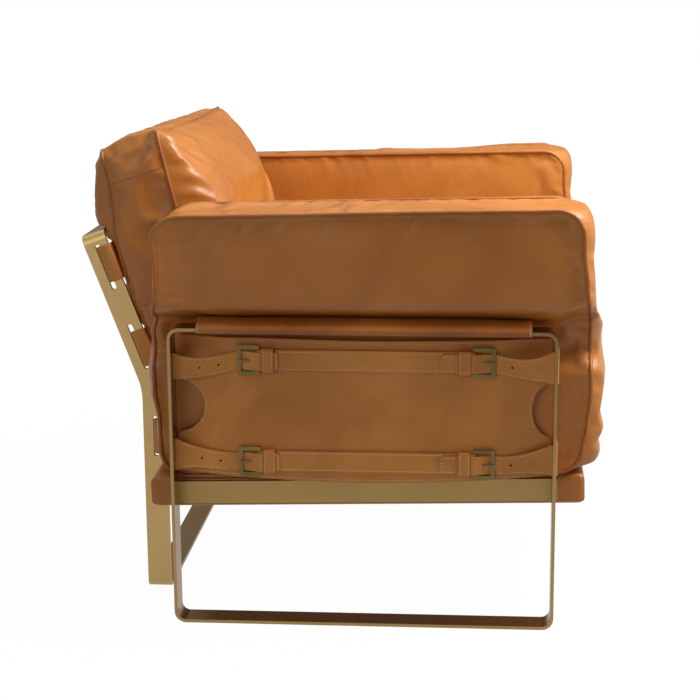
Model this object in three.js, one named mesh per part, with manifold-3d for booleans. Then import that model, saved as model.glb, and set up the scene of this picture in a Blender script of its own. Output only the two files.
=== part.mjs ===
// A leather lounge armchair on a satin brass flat bar frame.
// X points forwards, Y to the sitter's left, Z up. Millimetres.
// While it is built, X is zero at the rear face of the side loops, Y at the middle and Z at the floor.
// At the end the whole chair is moved, so that its origin is the middle of its footprint.

import * as THREE from 'three';
import { mergeVertices } from 'three/addons/utils/BufferGeometryUtils.js';
import Module from 'manifold-3d';

const wasm = await Module();
wasm.setup();

// Driving dimensions

// The closed side loops of flat bar that stand on the floor
const loop = { length: 590, height: 472, span: 860, cornerRadius: 18 };
const flatBar = { width: 40, thickness: 5 };

// The strip between a loop bar's inboard edge and the slot that a strap tab passes through
const tabSlot = { strip: 14, width: 7, endPlay: 3 };

// The leather sleeve sewn round the top bar of each loop
const sleeve = { rearEnd: 45, frontEnd: 551, thickness: 2.5 };

// The seat platform, which rises to the front
const seatTiltDegrees = 1.45;
const seatRail = { rearBottom: 181, height: 36, thickness: 6, overhang: 5 };
const deck = { rear: -40, front: 637, thickness: 51, drop: 8, edgeRadius: 10, endRadius: 14 };
const crossRail = { width: 40, thickness: 5, rearPlace: 90, frontPlace: 520 };

// The slotted back frame: two uprights, a top bar and a foot bar, all of one flat section
const back = {
  rear: -71,
  width: 38,
  thickness: 6,
  outerHalfSpan: 289,
  leanDegrees: 20.2,
  kinkHeight: 339,
  kinkRadius: 110,
  leanLength: 262,
  cornerRadius: 14,
};
const backSlot = { offset: 16, width: 8 };
const slots = {
  upper: { from: 166, to: 242 },
  middle: { from: 28, to: 105 },
  lower: { from: 226, to: 293 },
};

// How much of a slot a sling leaves open below and above itself
const slotLeft = {
  upper: { below: 12, above: 4 },
  middle: { below: 4, above: 13 },
  lower: { below: 4.5, above: 4.5 },
};
const backRail = { height: 32, thickness: 5, rise: 2 };
const slingThickness = 2.5;

// Leather pieces of the sides
const strapThickness = 2.2;
const strapWidth = 33;
const strap = {
  upper: { middle: 416, barMiddle: 413 },
  lower: { middle: 255, barMiddle: 267 },
};
const tab = { barWidth: 50, holeDiameter: 3, holePitch: 29, holeCount: 3 };
const tabTip = { rear: 29, front: 51 };
const keeper = { width: 18, gapToBuckle: 4, thickness: 1.8, sideLayer: 2, play: 1.5 };
const panel = { top: 447, ends: 219, middle: 210, thickness: 2.5, cornerRadius: 12 };
const scoop = { rearDepth: 40, frontDepth: 29, top: 386, bottom: 294 };

// The buckles
const buckle = { length: 34, height: 47, sideBar: 6, noseBar: 6, thickness: 3, cornerRadius: 3 };
const noseFromLoopEnd = { rear: 102, front: 93 };
const heelPinDiameter = 2.8;
const prong = { width: 3, thickness: 2, eyeDiameter: 6.2, restOnNose: 4 };
const prongSlot = { width: 5, fromNose: 14, pastHeel: 3 };
const eyeSlotWidth = 6;

// Cushions
const armCushion = {
  top: 650,
  topPlace: 300,
  outerHalfSpan: 438,
  innerHalfSpan: 304,
  rear: -13,
  rearSpread: 18,
  front: 626,
  frontSpread: 17,
  cornerRadius: 42,
};
const armSwell = { front: 18, rear: 9, top: 5, outer: 3, inner: 7 };
const seatCushion = { rear: -22, front: 636, boxHeight: 172, halfWidth: 301, cornerRadius: 26 };
const seatSwell = { top: 24, front: 10 };
const backCushion = {
  leanDegrees: 13.3,
  overSeat: 11,
  halfWidth: 284,
  gusset: 94,
  rearHeight: 327,
  frontHeight: 331,
  topSag: 8,
  cornerRadius: 18,
};
const backSwell = { front: 54, rear: 24, top: 13, bottom: 13, ends: 4 };

// Fasteners
const screw = {
  headDiameter: 10,
  headTopDiameter: 6,
  headHeight: 3,
  shankDiameter: 5,
  shankLength: 30,
  holeDiameter: 5.8,
};

// Clearances, the overrun of every cut, and the fineness of round stretches
const seam = 0.2;
const fit = 0.3;
const wrapPlay = 0.4;
const notchPlay = 1.6;
const softGap = 0.5;
const overrun = 5;
const arcSteps = 4;
const softArcSteps = 2;
const fineArcSteps = 6;
const roundSides = 10;
const ribbonSteps = 22;

// Derived places

const radians = THREE.MathUtils.degToRad;
const { lerp } = THREE.MathUtils;
const loopOuter = loop.span / 2;
const loopInner = loopOuter - flatBar.width;
const slotInner = loopInner + tabSlot.strip;
const slotOuter = slotInner + tabSlot.width;
const railOuter = loopInner - seam;
const railInner = railOuter - seatRail.thickness;
const deckHalfWidth = railInner - fit;
const deckBottom = -deck.drop;
const deckTop = deckBottom + deck.thickness;
const backInner = back.outerHalfSpan - back.thickness;
const backFront = back.rear + back.width;
const seatTilt = radians(seatTiltDegrees);
const seatSlope = Math.tan(seatTilt);
const backLean = radians(back.leanDegrees);

// The back cushion stands behind and over the seat cushion, with its heel against the leaning slings
const seatBottom = deckTop + softGap;
const heelHeight = seatRail.rearBottom + seatBottom + seatCushion.boxHeight + backCushion.overSeat;
const slingFront = back.width + wrapPlay + slingThickness;
const heelBehind = (heelHeight - back.kinkHeight) * Math.tan(backLean);
const cushionHeel = back.rear + slingFront / Math.cos(backLean) - heelBehind + fit;

// Layers of a strapped side, from the seat rail outwards
const panelInner = loopInner + fit;
const panelOuter = panelInner + panel.thickness;
const keeperInner = panelOuter + softGap;
const strapInner = keeperInner + keeper.thickness;
const strapOuter = strapInner + strapThickness;
const tabInKeeper = strapOuter + fit;
const keeperOuter = tabInKeeper + strapThickness + keeper.play + keeper.thickness;
const eyeRadius = heelPinDiameter / 2 + fit + strapThickness;
const heelAxis = keeperInner + eyeRadius;
const frameInner = heelAxis - buckle.thickness / 2;
const frameOuter = heelAxis + buckle.thickness / 2;
const tabUnderNose = frameInner - fit - strapThickness / 2;
const tabOverHeel = heelAxis + eyeRadius + fit + strapThickness / 2;

// Materials

function finish(color, roughness, metalness) {
  return new THREE.MeshStandardMaterial({ color, roughness, metalness });
}

const satinBrass = finish(0xa58e58, 0.35, 1);
const agedBrass = finish(0x7a7048, 0.45, 1);
const zincPlate = finish(0x9a9a96, 0.4, 1);
const tanLeather = finish(0xb9703a, 0.5, 0);
const strapLeather = finish(0x9a6230, 0.55, 0);

// Solid helpers

const basisXZ = new THREE.Matrix4().makeBasis(
  new THREE.Vector3(1, 0, 0),
  new THREE.Vector3(0, 0, 1),
  new THREE.Vector3(0, -1, 0),
);
const basisYZ = new THREE.Matrix4().makeBasis(
  new THREE.Vector3(0, 1, 0),
  new THREE.Vector3(0, 0, 1),
  new THREE.Vector3(1, 0, 0),
);

function shapeOf(points, holes = []) {
  const shape = new THREE.Shape(points);
  shape.holes = holes.map((hole) => new THREE.Path(hole));
  return shape;
}

function extrude(shape, depth) {
  return new THREE.ExtrudeGeometry(shape, { depth, steps: 1, bevelEnabled: false });
}

// A shape drawn in X and Z, as thick as the space between two values of Y
function acrossY(shape, fromY, toY) {
  return extrude(shape, toY - fromY).applyMatrix4(basisXZ).translate(0, toY, 0);
}

// A shape drawn in Y and Z, as long as the space between two values of X
function alongX(shape, fromX, toX) {
  return extrude(shape, toX - fromX).applyMatrix4(basisYZ).translate(fromX, 0, 0);
}

// A shape drawn in X and Y, as tall as the space between two values of Z
function upZ(shape, fromZ, toZ) {
  return extrude(shape, toZ - fromZ).translate(0, 0, fromZ);
}

function block(fromX, toX, fromY, toY, fromZ, toZ) {
  const box = new THREE.BoxGeometry(toX - fromX, toY - fromY, toZ - fromZ);
  return box.translate((fromX + toX) / 2, (fromY + toY) / 2, (fromZ + toZ) / 2);
}

function positionsOnly(geometry) {
  const bare = geometry.clone();
  bare.deleteAttribute('normal');
  bare.deleteAttribute('uv');
  return mergeVertices(bare);
}

function toSolid(geometry) {
  const merged = positionsOnly(geometry);
  const vertProperties = new Float32Array(merged.attributes.position.array);
  const triVerts = new Uint32Array(merged.index.array);
  return new wasm.Manifold(new wasm.Mesh({ numProp: 3, vertProperties, triVerts }));
}

function toGeometry(solid) {
  const mesh = solid.getMesh();
  const geometry = new THREE.BufferGeometry();
  geometry.setAttribute('position', new THREE.BufferAttribute(mesh.vertProperties, mesh.numProp));
  geometry.setIndex(new THREE.BufferAttribute(mesh.triVerts, 1));
  return geometry;
}

function cut(body, tools) {
  return toGeometry(tools.reduce((solid, tool) => solid.subtract(toSolid(tool)), toSolid(body)));
}

function join(pieces) {
  return toGeometry(pieces.map(toSolid).reduce((solid, piece) => solid.add(piece)));
}

function common(body, outline) {
  return toGeometry(toSolid(body).intersect(toSolid(outline)));
}

// The same piece for the other side of the chair
function mirrored(geometry) {
  const other = positionsOnly(geometry).scale(1, -1, 1);
  const index = other.index.array;
  for (let first = 0; first < index.length; first += 3) {
    [index[first + 1], index[first + 2]] = [index[first + 2], index[first + 1]];
  }
  return other;
}

function signedVolume(positions, index) {
  const corners = [new THREE.Vector3(), new THREE.Vector3(), new THREE.Vector3()];
  let volume = 0;
  for (let first = 0; first < index.length; first += 3) {
    corners.forEach((corner, step) => corner.fromArray(positions, index[first + step] * 3));
    volume += corners[0].dot(corners[1].clone().cross(corners[2]));
  }
  return volume;
}

// A closed skin over a row of sections that have the same number of points
function loft(sections) {
  const count = sections[0].length;
  const centres = [sections[0], sections.at(-1)].map((section) => {
    const sum = section.reduce((total, point) => total.add(point), new THREE.Vector3());
    return sum.divideScalar(count);
  });
  const points = [...sections.flat(), ...centres];
  const index = [];
  for (let ring = 0; ring + 1 < sections.length; ring += 1) {
    for (let step = 0; step < count; step += 1) {
      const next = (step + 1) % count;
      const here = ring * count;
      const there = here + count;
      index.push(here + step, here + next, there + next);
      index.push(here + step, there + next, there + step);
    }
  }
  const firstCentre = sections.length * count;
  const lastRing = firstCentre - count;
  for (let step = 0; step < count; step += 1) {
    const next = (step + 1) % count;
    index.push(next, step, firstCentre);
    index.push(lastRing + step, lastRing + next, firstCentre + 1);
  }
  const positions = points.flatMap((point) => point.toArray());
  if (signedVolume(positions, index) < 0) {
    index.reverse();
  }
  const geometry = new THREE.BufferGeometry();
  geometry.setAttribute('position', new THREE.Float32BufferAttribute(positions, 3));
  geometry.setIndex(index);
  return geometry;
}

// An outline of straight lines whose corners, [x, y, radius], are rounded off
function rounded(corners, steps = arcSteps) {
  const points = [];
  corners.forEach(([x, y, radius = 0], place) => {
    const corner = new THREE.Vector2(x, y);
    if (radius <= 0) {
      points.push(corner);
      return;
    }
    const [beforeX, beforeY] = corners.at(place - 1);
    const [afterX, afterY] = corners[(place + 1) % corners.length];
    const toBefore = new THREE.Vector2(beforeX, beforeY).sub(corner).normalize();
    const toAfter = new THREE.Vector2(afterX, afterY).sub(corner).normalize();
    const halfAngle = Math.acos(toBefore.dot(toAfter)) / 2;
    const bisector = toBefore.clone().add(toAfter).normalize();
    const centre = corner.clone().addScaledVector(bisector, radius / Math.sin(halfAngle));
    const start = corner.clone().addScaledVector(toBefore, radius / Math.tan(halfAngle));
    const turn = Math.sign(toBefore.cross(toAfter)) * (2 * halfAngle - Math.PI);
    for (let step = 0; step <= steps; step += 1) {
      points.push(start.clone().rotateAround(centre, (turn * step) / steps));
    }
  });
  return points;
}

function roundedRectangle(left, right, bottom, top, radius, steps = arcSteps) {
  const corners = [[left, bottom, radius], [right, bottom, radius], [right, top, radius], [left, top, radius]];
  return rounded(corners, steps);
}

function circle(x, y, radius, sides = roundSides) {
  const points = [];
  for (let side = 0; side < sides; side += 1) {
    const angle = (2 * Math.PI * side) / sides;
    points.push(new THREE.Vector2(x + radius * Math.cos(angle), y + radius * Math.sin(angle)));
  }
  return points;
}

// A strip of even thickness that follows a smooth line through hand-chosen points
function ribbon(points, thickness) {
  const line = new THREE.SplineCurve(points.map(([x, y]) => new THREE.Vector2(x, y)));
  const left = [];
  const right = [];
  for (let step = 0; step <= ribbonSteps; step += 1) {
    const share = step / ribbonSteps;
    const middle = line.getPoint(share);
    const tangent = line.getTangent(share);
    const normal = new THREE.Vector2(-tangent.y, tangent.x).multiplyScalar(thickness / 2);
    left.push(middle.clone().add(normal));
    right.unshift(middle.clone().sub(normal));
  }
  return [...left, ...right];
}

// The chair and its tilted seat group

const chair = new THREE.Group();

const seatGroup = new THREE.Group();
seatGroup.position.set(0, 0, seatRail.rearBottom);
seatGroup.rotation.y = -seatTilt;
chair.add(seatGroup);

const leanGroup = new THREE.Group();
leanGroup.position.set(back.rear, 0, back.kinkHeight);
leanGroup.rotation.y = -backLean;
chair.add(leanGroup);

const cushionGroup = new THREE.Group();
cushionGroup.position.set(cushionHeel, 0, heelHeight);
cushionGroup.rotation.y = -radians(backCushion.leanDegrees);
chair.add(cushionGroup);

function place(name, geometry, material, group = chair) {
  const mesh = new THREE.Mesh(geometry, material);
  mesh.name = name;
  group.add(mesh);
}

// The piece is drawn for the sitter's left and mirrored for the right
function placePair(name, geometry, material, group = chair) {
  place(`${name}_L`, geometry, material, group);
  place(`${name}_R`, mirrored(geometry), material, group);
}

// Side loops

const straps = Object.entries(strap);

// A strap tab's slot, drawn in Y and Z
function tabSlotOutline(level) {
  const half = tab.barWidth / 2 + tabSlot.endPlay;
  const radius = tabSlot.width / 2;
  return roundedRectangle(slotInner, slotOuter, level.barMiddle - half, level.barMiddle + half, radius);
}

function sideLoop() {
  const outer = roundedRectangle(0, loop.length, 0, loop.height, loop.cornerRadius, fineArcSteps);
  const wall = flatBar.thickness;
  const inner = roundedRectangle(
    wall,
    loop.length - wall,
    wall,
    loop.height - wall,
    loop.cornerRadius - wall,
    fineArcSteps,
  );
  const ring = acrossY(shapeOf(outer, [inner]), loopInner, loopOuter);
  const slotCuts = straps.map(([, level]) => {
    return alongX(shapeOf(tabSlotOutline(level)), -overrun, loop.length + overrun);
  });
  return cut(ring, slotCuts);
}

function armSleeve() {
  const bottom = loop.height - flatBar.thickness - fit;
  const top = loop.height + fit;
  const inner = roundedRectangle(loopInner - fit, loopOuter + fit, bottom, top, fit);
  const wall = sleeve.thickness;
  const outer = roundedRectangle(
    loopInner - fit - wall,
    loopOuter + fit + wall,
    bottom - wall,
    top + wall,
    wall + fit,
  );
  return alongX(shapeOf(outer, [inner]), sleeve.rearEnd, sleeve.frontEnd);
}

placePair('side_loop', sideLoop(), satinBrass);
placePair('arm_sleeve', armSleeve(), strapLeather);

// Seat rails and the rails that cross under the deck

function sideRail() {
  const rear = -seatRail.overhang;
  const front = loop.length + seatRail.overhang;
  const radius = seatRail.overhang / 2;
  return acrossY(shapeOf(roundedRectangle(rear, front, 0, seatRail.height, radius)), railInner, railOuter);
}

const screwRow = [-1, 1].map((share) => (share * deckHalfWidth) / 2);

function screwHole(x, y) {
  return upZ(shapeOf(circle(x, y, screw.holeDiameter / 2)), deckBottom - overrun, screw.shankLength + fit);
}

function crossRailBody(middle) {
  const half = crossRail.width / 2;
  const end = railInner - seam;
  const body = block(middle - half, middle + half, -end, end, 0, crossRail.thickness);
  return cut(body, screwRow.map((y) => screwHole(middle, y)));
}

placePair('seat_rail', sideRail(), satinBrass, seatGroup);
place('seat_cross_rail_rear', crossRailBody(crossRail.rearPlace), satinBrass, seatGroup);
place('seat_cross_rail_front', crossRailBody(crossRail.frontPlace), satinBrass, seatGroup);

// The back rail stands on edge between the uprights, behind the deck

const backRailFront = deck.rear - fit;
const backRailRear = backRailFront - backRail.thickness;
const backRailMiddle = backRail.rise + backRail.height / 2;
const backScrewRow = [-1, 1].map((share) => (share * backInner) / 2);

function backScrewHole(y) {
  const hole = circle(y, backRailMiddle, screw.holeDiameter / 2);
  return alongX(shapeOf(hole), backRailRear - overrun, backRailRear + screw.shankLength + fit);
}

function backRailBody() {
  const end = backInner - fit;
  const top = backRail.rise + backRail.height;
  const body = block(backRailRear, backRailFront, -end, end, backRail.rise, top);
  return cut(body, backScrewRow.map(backScrewHole));
}

place('back_cross_rail', backRailBody(), satinBrass, seatGroup);

// The deck: a board wrapped in leather, grooved for the cross rails and notched for the uprights

// Stations along X, each with how far the section shrinks, for an end rounded to a quarter circle
function roundedEnd(end, inwards, radius, steps = arcSteps) {
  const stations = [];
  for (let step = 0; step <= steps; step += 1) {
    const angle = (Math.PI / 2) * (step / steps);
    stations.push([end + inwards * radius * (1 - Math.sin(angle)), radius * (1 - Math.cos(angle))]);
  }
  return stations.reverse();
}

function loftAlongX(stations, sectionAt) {
  return loft(stations.map(([x, inset]) => sectionAt(inset, x).map(({ x: y, y: z }) => {
    return new THREE.Vector3(x, y, z);
  })));
}

function deckBody() {
  const section = (inset) => roundedRectangle(
    -deckHalfWidth + inset,
    deckHalfWidth - inset,
    deckBottom + inset,
    deckTop - inset,
    deck.edgeRadius - inset / 2,
  );
  const stations = [
    ...roundedEnd(deck.rear, 1, deck.endRadius),
    ...roundedEnd(deck.front, -1, deck.endRadius).reverse(),
  ];
  const grooves = [crossRail.rearPlace, crossRail.frontPlace].map((middle) => {
    const half = crossRail.width / 2 + fit;
    const side = deckHalfWidth + overrun;
    return block(middle - half, middle + half, -side, side, deckBottom - overrun, crossRail.thickness + fit);
  });
  const notches = [-1, 1].map((side) => {
    const middle = side * (backInner + back.thickness / 2);
    const half = back.thickness / 2 + fit;
    return block(
      deck.rear - overrun,
      backFront + notchPlay,
      middle - half,
      middle + half,
      deckBottom - overrun,
      deckTop + overrun,
    );
  });
  const holes = [crossRail.rearPlace, crossRail.frontPlace].flatMap((middle) => {
    return screwRow.map((y) => screwHole(middle, y));
  });
  const backHoles = backScrewRow.map(backScrewHole);
  return cut(loftAlongX(stations, section), [...grooves, ...notches, ...holes, ...backHoles]);
}

place('seat_deck', deckBody(), tanLeather, seatGroup);

// Screws: turned round the Z axis, head down, with the head's seat at zero

function screwBody() {
  const head = screw.headDiameter / 2;
  const shank = screw.shankDiameter / 2;
  const profile = [
    [0, -screw.headHeight],
    [screw.headTopDiameter / 2, -screw.headHeight],
    [head, -screw.headHeight / 2],
    [head, -fit],
    [shank, -fit],
    [shank, screw.shankLength - shank],
    [0, screw.shankLength],
  ];
  return new THREE.LatheGeometry(profile.map(([x, y]) => new THREE.Vector2(x, y)), roundSides);
}

function upScrew(x, y) {
  return screwBody().rotateX(Math.PI / 2).translate(x, y, 0);
}

function forwardScrew(y) {
  return screwBody().rotateZ(-Math.PI / 2).translate(backRailRear, y, backRailMiddle);
}

[['rear', crossRail.rearPlace], ['front', crossRail.frontPlace]].forEach(([end, x]) => {
  place(`deck_screw_${end}_R`, upScrew(x, screwRow[0]), zincPlate, seatGroup);
  place(`deck_screw_${end}_L`, upScrew(x, screwRow[1]), zincPlate, seatGroup);
});
place('back_rail_screw_R', forwardScrew(backScrewRow[0]), zincPlate, seatGroup);
place('back_rail_screw_L', forwardScrew(backScrewRow[1]), zincPlate, seatGroup);

// Back uprights: one flat section swept from the foot bend up to the top bend

const leanAlong = new THREE.Vector2(-Math.sin(backLean), Math.cos(backLean));
const leanAcross = new THREE.Vector2(Math.cos(backLean), Math.sin(backLean));
const kink = new THREE.Vector2(back.rear, back.kinkHeight);
const kinkStart = back.kinkHeight - back.kinkRadius * Math.tan(backLean / 2);
const bendAxis = back.outerHalfSpan - back.cornerRadius;
const innerBendRadius = back.cornerRadius - back.thickness;

// A point of the leaning part, from its place along and across the plate
function onLean(along, across) {
  return kink.clone().addScaledVector(leanAlong, along).addScaledVector(leanAcross, across);
}

// Four corners of a section: rear and front on the outer face, then front and rear on the inner face
function plateSection(rearOuter, frontOuter, outerY, rearInner, frontInner, innerY) {
  return [
    new THREE.Vector3(rearOuter.x, outerY, rearOuter.y),
    new THREE.Vector3(frontOuter.x, outerY, frontOuter.y),
    new THREE.Vector3(frontInner.x, innerY, frontInner.y),
    new THREE.Vector3(rearInner.x, innerY, rearInner.y),
  ];
}

function footSection(angle) {
  const outerZ = back.cornerRadius - back.cornerRadius * Math.cos(angle);
  const innerZ = back.cornerRadius - innerBendRadius * Math.cos(angle);
  return plateSection(
    new THREE.Vector2(back.rear, outerZ),
    new THREE.Vector2(backFront, outerZ),
    bendAxis + back.cornerRadius * Math.sin(angle),
    new THREE.Vector2(back.rear, innerZ),
    new THREE.Vector2(backFront, innerZ),
    bendAxis + innerBendRadius * Math.sin(angle),
  );
}

function kinkSection(angle) {
  const onArc = (radius) => new THREE.Vector2(
    back.rear - back.kinkRadius + radius * Math.cos(angle),
    kinkStart + radius * Math.sin(angle),
  );
  const rear = onArc(back.kinkRadius);
  const front = onArc(back.kinkRadius + back.width);
  return plateSection(rear, front, back.outerHalfSpan, rear, front, backInner);
}

function topSection(angle) {
  const base = back.leanLength - back.cornerRadius;
  const outer = base + back.cornerRadius * Math.sin(angle);
  const inner = base + innerBendRadius * Math.sin(angle);
  return plateSection(
    onLean(outer, 0),
    onLean(outer, back.width),
    bendAxis + back.cornerRadius * Math.cos(angle),
    onLean(inner, 0),
    onLean(inner, back.width),
    bendAxis + innerBendRadius * Math.cos(angle),
  );
}

function sweepOf(sectionAt, angle, steps = arcSteps) {
  return Array.from({ length: steps + 1 }, (unused, step) => sectionAt((angle * step) / steps));
}

// A slot with round ends, drawn in X and Z from its two ends on the plate's own line
function slotOutline(pointAt, from, to) {
  const radius = backSlot.width / 2;
  const left = backSlot.offset;
  const right = backSlot.offset + backSlot.width;
  const corners = roundedRectangle(left, right, from, to, radius);
  return corners.map(({ x: across, y: along }) => pointAt(along, across));
}

function backUpright() {
  const swept = loft([
    ...sweepOf(footSection, Math.PI / 2),
    ...sweepOf(kinkSection, backLean),
    ...sweepOf(topSection, Math.PI / 2),
  ]);
  const onLeg = (height, across) => new THREE.Vector2(back.rear + across, height);
  const outlines = [
    slotOutline(onLean, slots.upper.from, slots.upper.to),
    slotOutline(onLean, slots.middle.from, slots.middle.to),
    slotOutline(onLeg, slots.lower.from, slots.lower.to),
  ];
  const cuts = outlines.map((outline) => {
    return acrossY(shapeOf(outline), backInner - overrun, back.outerHalfSpan + overrun);
  });
  return cut(swept, cuts);
}

const barEnd = bendAxis - seam;

placePair('back_upright', backUpright(), satinBrass);
place('back_foot_bar', block(back.rear, backFront, -barEnd, barEnd, 0, back.thickness), satinBrass);
place(
  'back_top_bar',
  block(0, back.width, -barEnd, barEnd, back.leanLength - back.thickness, back.leanLength),
  satinBrass,
  leanGroup,
);

// Slings: a leather band across the front of the uprights, with each end looped round a plate's strip

function sling(level) {
  const low = slots[level].from + slotLeft[level].below;
  const high = slots[level].to - slotLeft[level].above;
  const strip = backSlot.offset + backSlot.width;
  const holeRear = strip - wrapPlay;
  const holeFront = back.width + wrapPlay;
  const holeInner = backInner - wrapPlay;
  const holeOuter = back.outerHalfSpan + wrapPlay;
  const wall = slingThickness;
  const eyes = [[holeInner, holeOuter], [-holeOuter, -holeInner]].map(([left, right]) => {
    const outer = roundedRectangle(
      holeRear - wall,
      holeFront + wall,
      left - wall,
      right + wall,
      wall,
      softArcSteps,
    );
    const inner = roundedRectangle(holeRear, holeFront, left, right, wrapPlay, 1);
    return upZ(shapeOf(outer, [inner]), low, high);
  });
  const reach = holeInner - wall / 2;
  const band = block(holeFront, holeFront + wall, -reach, reach, low, high);
  return join([band, ...eyes]);
}

place('back_sling_upper', sling('upper'), strapLeather, leanGroup);
place('back_sling_middle', sling('middle'), strapLeather, leanGroup);
place('back_sling_lower', sling('lower').translate(back.rear, 0, 0), strapLeather);

// Side panels: a leather sheet between the bars, hemmed, with a scoop at each end between the tabs

const panelGap = flatBar.thickness + wrapPlay + strapThickness + fit;
const panelRear = panelGap;
const panelFront = loop.length - panelGap;

// A scoop's half oval, drawn from its top to its bottom
function scoopPoints(edge, depth, towards) {
  const middle = (scoop.top + scoop.bottom) / 2;
  const half = (scoop.top - scoop.bottom) / 2;
  const points = [];
  for (let step = 0; step <= roundSides; step += 1) {
    const angle = Math.PI * (step / roundSides);
    points.push(new THREE.Vector2(edge + towards * depth * Math.sin(angle), middle + half * Math.cos(angle)));
  }
  return points;
}

function sidePanel() {
  const sag = panel.ends - panel.middle;
  const hem = [];
  for (let step = 0; step <= roundSides; step += 1) {
    const share = step / roundSides;
    const x = panelRear + (panelFront - panelRear) * share;
    hem.push(new THREE.Vector2(x, panel.ends - sag * Math.sin(Math.PI * share)));
  }
  const rearScoop = scoopPoints(panelRear, scoop.rearDepth, 1);
  const frontScoop = scoopPoints(panelFront, scoop.frontDepth, -1).reverse();
  const top = rounded([
    [panelFront, scoop.top],
    [panelFront, panel.top, panel.cornerRadius],
    [panelRear, panel.top, panel.cornerRadius],
    [panelRear, scoop.top],
  ]).slice(1, -1);
  return acrossY(shapeOf([...hem, ...frontScoop, ...top, ...rearScoop]), panelInner, panelOuter);
}

placePair('side_panel', sidePanel(), tanLeather);

// Buckled straps. Each end is drawn for a buckle whose nose looks to the rear, with X measured
// from the outer face of its own bar, and turned round for the front end of the strap.

const heelPlace = buckle.length - heelPinDiameter / 2;

// What is drawn for the rear end, put at the rear or at the front of the loop
function atEnd(geometry, end) {
  if (end === 'rear') {
    return geometry;
  }
  const turned = positionsOnly(geometry).scale(-1, 1, 1).translate(loop.length, 0, 0);
  const index = turned.index.array;
  for (let first = 0; first < index.length; first += 3) {
    [index[first + 1], index[first + 2]] = [index[first + 2], index[first + 1]];
  }
  return turned;
}

function buckleFrame(nose, middle) {
  const half = buckle.height / 2;
  const heelX = nose + heelPlace;
  const pin = heelPinDiameter / 2;
  const frame = shapeOf(
    roundedRectangle(
      nose,
      nose + buckle.length,
      middle - half,
      middle + half,
      buckle.cornerRadius,
      softArcSteps,
    ),
    [roundedRectangle(
      nose + buckle.noseBar,
      nose + buckle.length + overrun,
      middle - half + buckle.sideBar,
      middle + half - buckle.sideBar,
      fit,
      1,
    ).map(({ x, y }) => new THREE.Vector2(Math.min(x, heelX - pin), y))],
  );
  const plate = acrossY(frame, frameInner, frameOuter);
  const reach = half - buckle.sideBar;
  const room = block(
    heelX - pin - fit,
    nose + buckle.length + overrun,
    frameInner - overrun,
    frameOuter + overrun,
    middle - reach,
    middle + reach,
  );
  const heelPin = upZ(
    shapeOf(circle(heelX, heelAxis, pin)),
    middle - reach - buckle.sideBar / 2,
    middle + reach + buckle.sideBar / 2,
  );
  return join([cut(plate, [room]), heelPin]);
}

function bucklePronged(nose, middle) {
  const heelX = nose + heelPlace;
  const start = new THREE.Vector2(heelX, heelAxis);
  const rest = new THREE.Vector2(nose + buckle.noseBar, frameOuter + fit + prong.thickness / 2);
  const towards = rest.clone().sub(start).normalize();
  const tip = rest.clone().addScaledVector(towards, prong.restOnNose);
  const stem = start.clone().addScaledVector(towards, prong.eyeDiameter / 2 - prong.thickness / 2);
  const half = prong.thickness / 2;
  const normal = new THREE.Vector2(-towards.y, towards.x).multiplyScalar(half);
  const rod = [
    stem.clone().add(normal),
    tip.clone().add(normal),
    tip.clone().sub(normal),
    stem.clone().sub(normal),
  ];
  const low = middle - prong.width / 2;
  const high = middle + prong.width / 2;
  const eye = shapeOf(
    circle(heelX, heelAxis, prong.eyeDiameter / 2),
    [circle(heelX, heelAxis, heelPinDiameter / 2 + fit)],
  );
  return join([upZ(eye, low, high), upZ(shapeOf(rod), low, high)]);
}

// A tab's path: shares of its run from the bar to the nose, and of its fall to the layer under the nose
const tabRunShares = [[0.33, 0.36], [0.7, 0.84]];

// Then shares of the way from the nose to the heel pin, and of its climb over it
const tabClimbShares = [[0.37, 0.09], [0.68, 0.56]];

// How much of its climb it still has at the keeper's edge
const keeperClimbShare = 0.33;

// The edges' flare: where they bend and where they end, as shares of the run, and the tip's round corners
const flareBendShare = 0.3;
const flareEndShare = 0.75;
const tipRoundShare = 0.7;

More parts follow.
